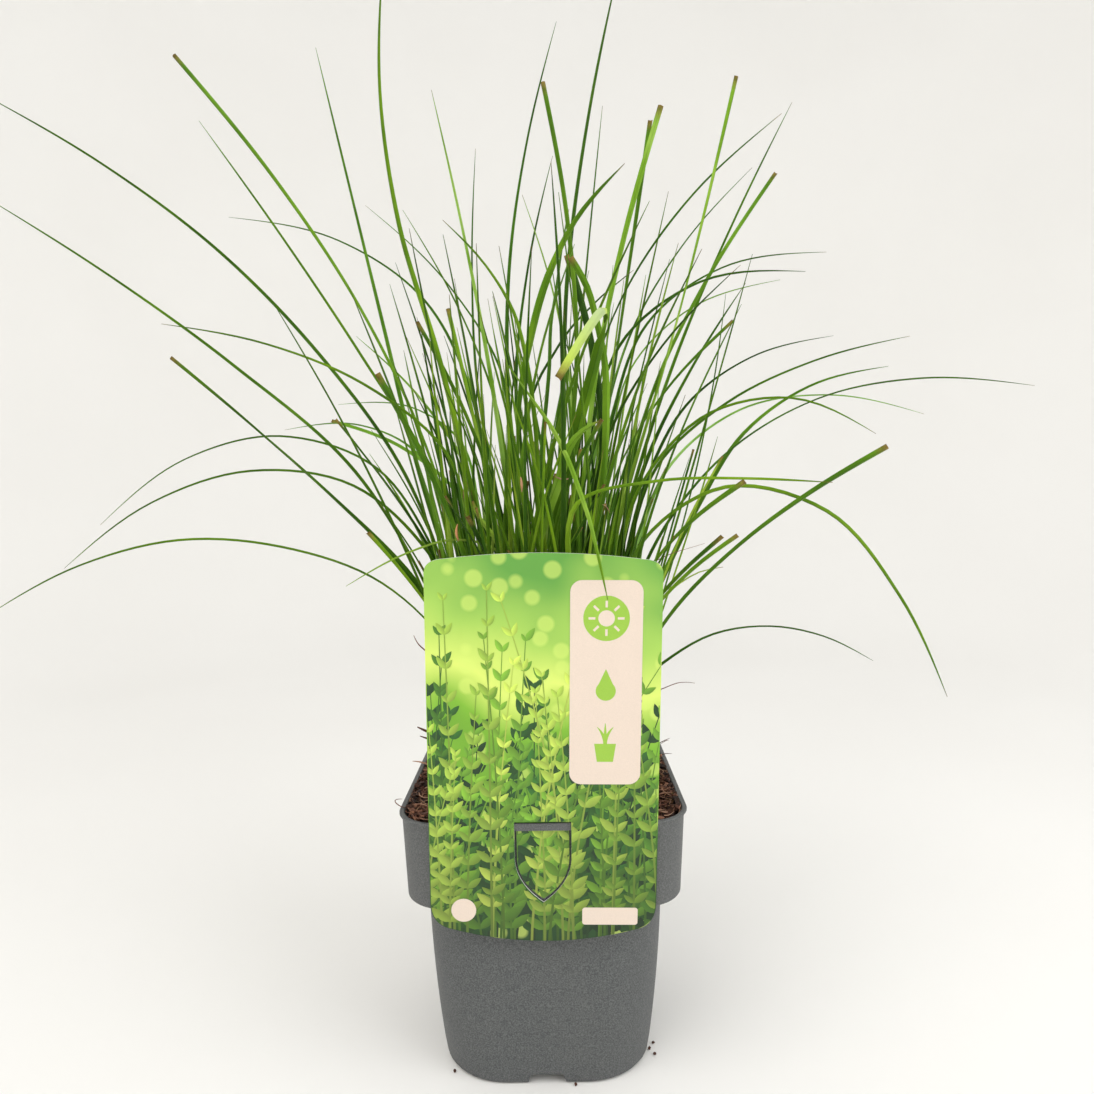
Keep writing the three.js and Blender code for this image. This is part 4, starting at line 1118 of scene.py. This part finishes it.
# Threads and dead ends that lie over the rim or hang in the clump: radius, tone and points.
LOOSE_THREADS = [
    (0.22, 0.45, [(-61, -43, 129), (-64.5, -46, 131), (-67, -44, 132), (-67, -39, 131.5), (-65, -38, 131.2)]),
    (0.45, 0.95, [(-57, 8, 129), (-61, 9, 131.2), (-69, 13, 131.5)]),
    (0.40, 0.95, [(-60.5, -42, 130), (-56, -43.5, 130.8), (-51.5, -45, 130.2)]),
    (0.32, 0.90, [(-62, -43, 129.6), (-59.5, -49, 130.2), (-57, -54, 129.8)]),
    (0.30, 0.80, [(-57, -54, 129.8), (-56.5, -49, 130.4), (-56.3, -43, 129.6)]),
    (0.28, 0.95, [(-61, -4, 129.8), (-59, -3, 130.8), (-55, 0, 130)]),
    (0.30, 1.00, [(-59, -22, 130), (-57, -24, 131), (-55, -22, 130.8), (-56, -19, 130.4), (-58, -20, 130)]),
    (0.34, 0.95, [(60, -36, 129.6), (57, -33, 130.6), (56, -28, 130.2), (58, -24, 129.8)]),
    (0.30, 0.85, [(61, -10, 129.6), (58, -6, 130.4), (59, 0, 130.2), (56, 5, 129.8)]),
    (0.22, 0.15, [(60, 38, 129), (66, 40, 131.6), (70, 41, 133)]),
    (0.18, 0.15, [(64, 37, 130.8), (67.5, 40, 131.8), (69.5, 43, 131.2)]),
    (0.20, 0.30, [(60, 20, 129), (64, 19, 131.5), (67.5, 16, 132.5)]),
    (0.30, 0.45, [(30, 8, 146), (46, 0, 165), (59, -10, 174), (68, -10, 177), (75, -10, 176.6)]),
    (0.20, 0.70, [(34, 2, 200), (55, -14, 237), (64, -20, 242), (71, -20, 244), (78, -20, 246)]),
    (0.85, 0.30, [(-46, -6, 149), (-55, -9, 153), (-62, -10, 156.6)]),
    (0.60, 0.30, [(-46, -10, 148), (-55, -14, 151.5), (-60, -15, 153.6)]),
    (0.40, 0.55, [(-40, -22, 190), (-54, -30, 199), (-57, -30, 202), (-59, -30, 206)]),
    (0.65, 1.35, [(-35.4, -47, 258.2), (-36, -47, 254.6), (-35.2, -46, 250.6)]),
    (0.55, 1.15, [(-7.1, -52, 278.3), (-6.8, -52, 275.3), (-6.8, -51, 271.8)]),
    (0.55, 0.40, [(-33, -42, 273), (-32.6, -42, 269.9), (-32.2, -41, 266.8)]),
    (0.40, 0.90, [(7.7, -50, 278.5), (9.8, -52, 277.3), (12.4, -52, 277.0), (14.5, -52, 277.6)]),
    (0.18, 0.95, [(27.4, -54, 266.1), (29.2, -55, 265.2), (30.4, -55, 263.4), (31.3, -54, 261.3)]),
]


def off_the_wall(points):
    """Moves points inwards where they would reach the pot's rounded walls."""
    reach = COLLAR_TOP_WIDTH / 2 - WALL - WALL_CLEARANCE
    corner = COLLAR_CORNER - WALL - WALL_CLEARANCE
    flat = np.minimum(np.abs(points[:, :2]), reach)
    over = np.maximum(flat - (reach - corner), 0)
    shrink = np.minimum(1, corner / np.maximum(np.hypot(*over.T), 1e-9))
    flat = np.where(over > 0, reach - corner + over * shrink[:, None], flat)
    return np.column_stack([np.sign(points[:, :2]) * flat, points[:, 2]])


def fibre_line(draw, start):
    """A short curling thread that lies about level."""
    heading = draw.random() * 2 * math.pi
    curl = draw.normal() * 0.35
    rise = draw.normal() * 0.18
    step = 1.0 + 1.3 * draw.random()
    line = [start]
    for _ in range(8):
        heading += curl + draw.normal() * 0.25
        rise = 0.6 * rise + draw.normal() * 0.16
        line.append(line[-1] + step * np.array([math.cos(heading), math.sin(heading), rise]))
    line = off_the_wall(np.array(line))
    line[:, 2] = np.clip(line[:, 2], SOIL_LEVEL - 1.5, POT_HEIGHT + 1)
    return line


def thread_skin(line, radius, sides):
    """A thin tube round a line, thinning to both of its ends."""
    along = unit(np.gradient(line, axis=0) + 1e-9)
    first = unit(np.cross(along, (0.3, 0.2, 1.0)))
    second = np.cross(along, first)
    taper = radius * np.sin(np.linspace(0.35, math.pi - 0.35, len(line)))
    turn = np.arange(sides) / sides * 2 * math.pi
    ring = first[:, None] * np.cos(turn)[:, None] + second[:, None] * np.sin(turn)[:, None]
    return (line[:, None] + ring * taper[:, None, None]).reshape(-1, 3)


# ------------------------------------------------------------------ the label

CURVE_STEPS = 16


def quadratic(start, control, end, steps=CURVE_STEPS):
    t = (np.arange(1, steps + 1) / steps)[:, None]
    start, control, end = map(np.array, (start, control, end))
    return [tuple(p) for p in (1 - t) ** 2 * start + 2 * t * (1 - t) * control + t**2 * end]


def card_outline():
    """The card's outline in its own X and Z, from the line where it rests on the rim."""
    side = CARD_HALF_WIDTH
    top = CARD_TOP_Z - CARD_REST_Z
    foot = CARD_FOOT_Z - CARD_REST_Z
    line = [(-side, foot + 18)]
    line += quadratic(line[-1], (-side, foot + 7.5), (-side + 9, foot + 5.5))
    line += quadratic(line[-1], (0, foot - 5.5), (side - 9, foot + 5.5))
    line += quadratic(line[-1], (side, foot + 7.5), (side, foot + 18))
    line += [(side, top - 9)]
    line += quadratic(line[-1], (side, top - 3), (side - 8, top - 2.6))
    line += quadratic(line[-1], (0, top + 2.6), (-side + 8, top - 2.6))
    line += quadratic(line[-1], (-side, top - 3), (-side, top - 9))
    return line


def shield_outline(inset, top_z):
    """The tongue's outline in X and Z, in the pot's frame."""
    half = TONGUE_HALF_WIDTH - inset
    line = [(-half, top_z), (-half, TONGUE_SHOULDER_Z)]
    line += quadratic(line[-1], (-half + 0.6, TONGUE_SHOULDER_Z - 11), (0, TONGUE_TIP_Z + 2 * inset))
    line += quadratic(line[-1], (half - 0.6, TONGUE_SHOULDER_Z - 11), (half, TONGUE_SHOULDER_Z))
    line += [(half, top_z)]
    return line


def upright_slab(outline, back_y, depth):
    points = [(x, y, z) for y in (back_y, back_y - depth) for x, z in outline]
    return np.array(points), tube_faces(0, 2, len(outline))


CARD_PLACE = (
    Matrix.Translation((CARD_SHIFT, CARD_REST_Y, CARD_REST_Z))
    @ Matrix.Rotation(CARD_SIDE_LEAN, 4, "Y")
    @ Matrix.Rotation(CARD_LEAN, 4, "X")
)


def on_card(points):
    """Moves points from the card's own frame to the pot's."""
    return np.array([(CARD_PLACE @ Vector(point))[:] for point in points])


def tongue_profile():
    """The tongue's middle line in Y and Z: over the strap and down in the slot behind it."""
    def wall_y(z):
        share = (z - COLLAR_FOOT_Z) / (POT_HEIGHT - COLLAR_FOOT_Z)
        half = (COLLAR_FOOT_WIDTH + share * (COLLAR_TOP_WIDTH - COLLAR_FOOT_WIDTH)) / 2
        return -min(half, SLOT_INNER)

    stand_off = 0.65
    bend_z = POT_HEIGHT + 0.75
    foot_z = TONGUE_TIP_Z + 3
    return [
        (CARD_REST_Y - 0.55, POT_HEIGHT + 3.2),
        (wall_y(bend_z) - stand_off, bend_z),
        (wall_y(foot_z) - stand_off, foot_z),
    ]


def tongue_front_y(z):
    """Where the tongue's printed face lies at a height."""
    middle = tongue_profile()[::-1]
    return np.interp(z, [p[1] for p in middle], [p[0] for p in middle]) - TONGUE_THICKNESS / 2


def tongue_object():
    middle = [Vector(place) for place in tongue_profile()]
    front, back = [], []
    for i, place in enumerate(middle):
        along = (middle[min(i + 1, 2)] - middle[max(i - 1, 0)]).normalized()
        aside = Vector((along.y, -along.x)) * TONGUE_THICKNESS / 2
        front.append(place + aside)
        back.append(place - aside)
    outline = front + back[::-1]
    points = [(x, place.x, place.y) for x in (-TONGUE_HALF_WIDTH, TONGUE_HALF_WIDTH) for place in outline]
    strip = scratch(points, tube_faces(0, 2, len(outline)))
    slab = upright_slab(shield_outline(TONGUE_CUT, POT_HEIGHT + 10), -RIM_WIDTH / 2 + 20, 40)
    return cut(strip, scratch(*slab), "INTERSECT")


def build_card():
    points, faces = upright_slab(card_outline(), 0, CARD_THICKNESS)
    card = scratch(on_card(points), faces)
    cut(card, scratch(*upright_slab(shield_outline(0, TONGUE_TOP_Z), -RIM_WIDTH / 2 + 20, 40)))
    cut(card, tongue_object(), "UNION")
    label = add_piece("label_card", *use_up(card), [CARD, PRINT_GROUND], "label_card", ["label"],
                      smooth=False)
    for polygon in label.data.polygons:
        polygon.material_index = int(polygon.normal.y < -0.9)


def clip(polygon, edge_from, edge_to):
    """The parts of a convex polygon to the left and to the right of a line."""
    (ax, az), (bx, bz) = edge_from, edge_to
    heights = [(bx - ax) * (z - az) - (bz - az) * (x - ax) for x, z, *_ in polygon]
    left, right = [], []
    for i, point in enumerate(polygon):
        j = (i + 1) % len(polygon)
        (left if heights[i] >= 0 else right).append(point)
        if (heights[i] >= 0) != (heights[j] >= 0):
            t = heights[i] / (heights[i] - heights[j])
            crossing = tuple(a + t * (b - a) for a, b in zip(point, polygon[j]))
            left.append(crossing)
            right.append(crossing)
    return left, right


def split_by(polygon, outline):
    """A convex polygon's part inside a convex outline, and its parts outside."""
    outside = []
    for start, end in zip(outline, outline[1:] + outline[:1]):
        polygon, beyond = clip(polygon, start, end)
        if len(beyond) > 2:
            outside.append(beyond)
        if len(polygon) < 3:
            return None, outside
    return polygon, outside


class Print:
    """Flat shapes printed on the card and on its tongue, each a hair in front of the last."""

    LAYER = 0.0006
    BASE = 0.004
    MARGIN = 0.35

    def __init__(self):
        self.points, self.faces, self.inks = [], [], []
        self.layer = 0
        shrink_x, shrink_z = 1 - self.MARGIN / CARD_HALF_WIDTH, 1 - self.MARGIN / CARD_REACH
        self.card = [(x * shrink_x, z * shrink_z) for x, z in card_outline()]
        # The shield in the card's own frame.
        self.hole = [(x - CARD_SHIFT, z - CARD_REST_Z) for x, z in shield_outline(-0.2, TONGUE_TOP_Z + 0.2)]
        self.tongue = [(x - CARD_SHIFT, z - CARD_REST_Z)
                       for x, z in shield_outline(TONGUE_CUT + 0.1, POT_HEIGHT - 0.3)]

    def put(self, polygon, placed):
        start = len(self.points)
        self.faces.append(tuple(range(start, start + len(polygon))))
        self.points += placed
        self.inks += [(r, g, b, 1) for _, _, r, g, b in polygon]

    def draw(self, polygons):
        """Each polygon is a list of (x, z, r, g, b), in the card's own frame."""
        lift = self.BASE + self.LAYER * self.layer
        self.layer += 1
        for polygon in polygons:
            inside, _ = split_by(polygon, self.card)
            if inside is None:
                continue
            in_hole, around = split_by(inside, self.hole)
            for piece in around:
                flat = [(x, -CARD_THICKNESS - lift, z) for x, z, *_ in piece]
                self.put(piece, [tuple(point) for point in on_card(flat)])
            on_tongue = split_by(in_hole, self.tongue)[0] if in_hole else None
            if on_tongue:
                self.put(on_tongue, [
                    (x + CARD_SHIFT, tongue_front_y(z + CARD_REST_Z) - lift, z + CARD_REST_Z)
                    for x, z, *_ in on_tongue])


def ribbon(points, widths, inks):
    """A printed line of changing width as a row of quads."""
    points, inks = np.array(points), np.array(inks)
    along = unit(np.gradient(points, axis=0))
    aside = np.stack([-along[:, 1], along[:, 0]], axis=1) * np.array(widths)[:, None] / 2
    left, right = points + aside, points - aside
    quads = []
    for i in range(len(points) - 1):
        j = i + 1
        corners = [(right[i], inks[i]), (right[j], inks[j]), (left[j], inks[j]), (left[i], inks[i])]
        quads.append([(*place, *ink) for place, ink in corners])
    return quads


def disc(x, z, radius, ink, steps=40):
    turn = np.arange(steps) / steps * 2 * math.pi
    return [[(x + radius * math.cos(t), z + radius * math.sin(t), *ink) for t in turn]]


def rounded_panel(low_x, high_x, low_z, high_z, corner, ink):
    line = []
    for quarter, (x, z) in enumerate([(high_x - corner, high_z - corner), (low_x + corner, high_z - corner),
                                      (low_x + corner, low_z + corner), (high_x - corner, low_z + corner)]):
        for step in range(9):
            angle = (quarter + step / 8) * math.pi / 2
            line.append((x + corner * math.cos(angle), z + corner * math.sin(angle), *ink))
    return [line]


BLUSH = (0.74, 0.62, 0.53)
PRINT_SEED = 51
SPRIG_NODES = 12
# Length and half width along a printed leaf, as shares of its own.
LEAF_SHAPE = [(0.18, 0.72), (0.4, 1.0), (0.65, 0.8), (0.86, 0.4)]


def printed_leaf(foot, heading, length, ink):
    """A pointed leaf as one convex shape, darker along one side."""
    ahead = np.array([math.cos(heading), math.sin(heading)])
    aside = np.array([-ahead[1], ahead[0]]) * 0.21
    lower = [(foot + length * (share * ahead - half * aside), 0.72) for share, half in LEAF_SHAPE]
    upper = [(foot + length * (share * ahead + half * aside), 1.15) for share, half in LEAF_SHAPE[::-1]]
    line = [(foot, 0.9), *lower, (foot + length * ahead, 0.9), *upper]
    return [(*place, *np.minimum(ink * shade, 1)) for place, shade in line]


def printed_sprigs(art, draw, count, heights, leaf_lengths, dark, light):
    """Leafy stems that rise from the card's foot, with small leaves in pairs."""
    foot = CARD_FOOT_Z - CARD_REST_Z
    share = np.linspace(0, 1, SPRIG_NODES)
    for _ in range(count):
        sway = 16 * draw.normal()
        height = draw.uniform(*heights)
        line = np.stack([draw.uniform(-54, 54) + sway * share**1.7, foot - 8 + height * share], axis=1)
        blend = draw.random()
        ink = np.array(dark) * (1 - blend) + np.array(light) * blend
        shade = 0.3 + 0.7 * share**0.8
        art.draw(ribbon(line, 0.9 * (1 - share) + 0.3, 0.7 * ink * shade[:, None]))
        for side in (-1, 1):
            leaves = []
            for node in range(2, SPRIG_NODES):
                rise = line[node] - line[node - 1]
                heading = math.atan2(rise[1], rise[0]) + side * (0.95 - 0.4 * share[node])
                length = draw.uniform(*leaf_lengths) * (1 - 0.5 * share[node])
                leaves.append(printed_leaf(line[node], heading, length, ink * shade[node]))
            art.draw(leaves)


def build_print():
    draw = np.random.default_rng(PRINT_SEED)
    art = Print()
    printed_sprigs(art, draw, 34, (60, 130), (9, 17), (0.005, 0.035, 0.008), (0.040, 0.190, 0.020))
    printed_sprigs(art, draw, 30, (70, 150), (7, 14), (0.030, 0.140, 0.012), (0.270, 0.570, 0.040))
    printed_sprigs(art, draw, 22, (90, 165), (6, 12), (0.140, 0.340, 0.020), (0.700, 0.900, 0.130))
    art.draw(rounded_panel(11, 41, 20, 108, 5, BLUSH))
    draw_care_signs(art)
    art.draw(rounded_panel(17, 41, -44.5, -36.5, 1.2, BLUSH))
    art.draw(disc(-34.5, -38, 5.4, BLUSH))
    add_piece("label_print", art.points, art.faces, [INK], "label_card",
              values={"ink": art.inks}, smooth=False)


def draw_care_signs(art):
    """Plain signs on the panel: a sun, a drop and a pot with a sprout."""
    green = (0.30, 0.52, 0.05)
    x = 26
    art.draw(disc(x, 92, 9.6, green))
    art.draw(disc(x, 92, 3.4, BLUSH))
    for ray in range(8):
        angle = ray * math.pi / 4
        near, far = 4.6, 7.4
        line = [(x + r * math.cos(angle), 92 + r * math.sin(angle)) for r in (near, far)]
        art.draw(ribbon(line, (1.0, 1.0), [BLUSH, BLUSH]))
    turn = np.linspace(-0.25 * math.pi, 1.25 * math.pi, 30)
    drop = [(x + 4.2 * math.cos(t), 61 + 4.2 * math.sin(t) * -1, *green) for t in turn]
    drop.append((x, 61 + 9.5, *green))
    art.draw([drop[::-1]])
    art.draw([[(x - 3.4, 30, *green), (x + 3.4, 30, *green), (x + 4.6, 38, *green), (x - 4.6, 38, *green)]])
    for sway in (-3.4, 0, 3.4):
        share = np.linspace(0, 1, 7)
        line = np.stack([x + sway * share**1.6, 38 + 9 * share - abs(sway) * 0.5 * share**2], axis=1)
        art.draw(ribbon(line, 1.3 * (1 - share**2) + 0.2, [green] * 7))


# ------------------------------------------------------------------ stage, light and camera

IMAGE_SIZE = 1094  # pixels
FOCAL_PIXELS = 814.7
SENSOR = 36
CAMERA_HEIGHT = 274.7
CAMERA_DISTANCE = 404.0
CAMERA_ASIDE = 3.4
CAMERA_PITCH = 0.076
CAMERA_YAW = -0.006
CAMERA_ROLL = -0.016


def build_camera():
    yaw, pitch, roll = CAMERA_YAW, CAMERA_PITCH, CAMERA_ROLL
    right = Vector((math.cos(yaw), -math.sin(yaw), 0))
    level = Vector((math.sin(yaw), math.cos(yaw), 0))
    forward = level * math.cos(pitch) - Vector((0, 0, math.sin(pitch)))
    up = level * math.sin(pitch) + Vector((0, 0, math.cos(pitch)))
    image_right = right * math.cos(roll) + up * math.sin(roll)
    image_up = up * math.cos(roll) - right * math.sin(roll)
    place = right * CAMERA_ASIDE - level * CAMERA_DISTANCE + Vector((0, 0, CAMERA_HEIGHT))
    data = bpy.data.cameras.new("camera")
    data.sensor_width = SENSOR
    data.lens = FOCAL_PIXELS / IMAGE_SIZE * SENSOR
    data.clip_start = 0.01
    camera = bpy.data.objects.new("camera", data)
    axes = Matrix((image_right, image_up, -forward)).transposed().to_4x4()
    camera.matrix_world = Matrix.Translation(place * MM) @ axes
    bpy.context.scene.camera = link(camera)


def stage_material():
    n = Nodes("stage")
    colour = n.ramp(n.noise(3, 1), [(0.35, (0.832, 0.824, 0.804)), (0.65, (0.846, 0.839, 0.820))])
    return n.finish(colour, 0.9)


# The stage, in metres.
FLOOR_RADIUS = 0.9
WALL_BEND = 0.7
WALL_TOP = 2.2
STAGE_SIDES = 72


def build_stage():
    """A pale floor that curves up into a wall all round."""
    profile = [(0, 0), (0.6, 0), (FLOOR_RADIUS, 0)]
    for step in range(1, 13):
        angle = step / 12 * math.pi / 2
        profile.append((FLOOR_RADIUS + WALL_BEND * math.sin(angle), WALL_BEND - WALL_BEND * math.cos(angle)))
    profile.append((FLOOR_RADIUS + WALL_BEND, WALL_TOP))
    points, faces = [(0, 0, 0)], []
    for radius, z in profile[1:]:
        points += [(radius * math.cos(a), radius * math.sin(a), z)
                   for a in np.arange(STAGE_SIDES) / STAGE_SIDES * 2 * math.pi]
    for ring in range(len(profile) - 1):
        for i in range(STAGE_SIDES):
            j = (i + 1) % STAGE_SIDES
            if ring == 0:
                faces.append((0, 1 + i, 1 + j))
            else:
                low = 1 + (ring - 1) * STAGE_SIDES
                faces.append((low + i, low + STAGE_SIDES + i, low + STAGE_SIDES + j, low + j))
    floor = make_object("stage_floor", points, faces, 1)
    floor.data.materials.append(stage_material())
    floor.data.polygons.foreach_set("use_smooth", [True] * len(floor.data.polygons))


def add_light(name, place, aim, size, power, colour=(1, 1, 1)):
    data = bpy.data.lights.new(name, "AREA")
    data.shape = "DISK"
    data.size = size
    data.energy = power
    data.color = colour
    light = bpy.data.objects.new(name, data)
    light.location = place
    light.rotation_euler = (Vector(aim) - Vector(place)).to_track_quat("-Z", "Y").to_euler()
    link(light)


def build_light():
    world = bpy.data.worlds.new("studio")
    world.use_nodes = True
    background = world.node_tree.nodes["Background"]
    background.inputs["Color"].default_value = (1.0, 0.995, 0.985, 1)
    background.inputs["Strength"].default_value = 0.83
    bpy.context.scene.world = world
    add_light("key", (-0.7, -0.9, 1.5), (0, 0, 0.2), 1.3, 11.5, (1.0, 0.985, 0.96))
    add_light("fill", (1.0, -0.7, 0.9), (0, 0, 0.2), 1.1, 8.5, (0.97, 0.985, 1.0))


bpy.context.scene.view_settings.view_transform = "Standard"
build_clump()
build_pot()
build_soil(clump_shoots())
build_card()
build_print()
build_stage()
build_light()
build_camera()
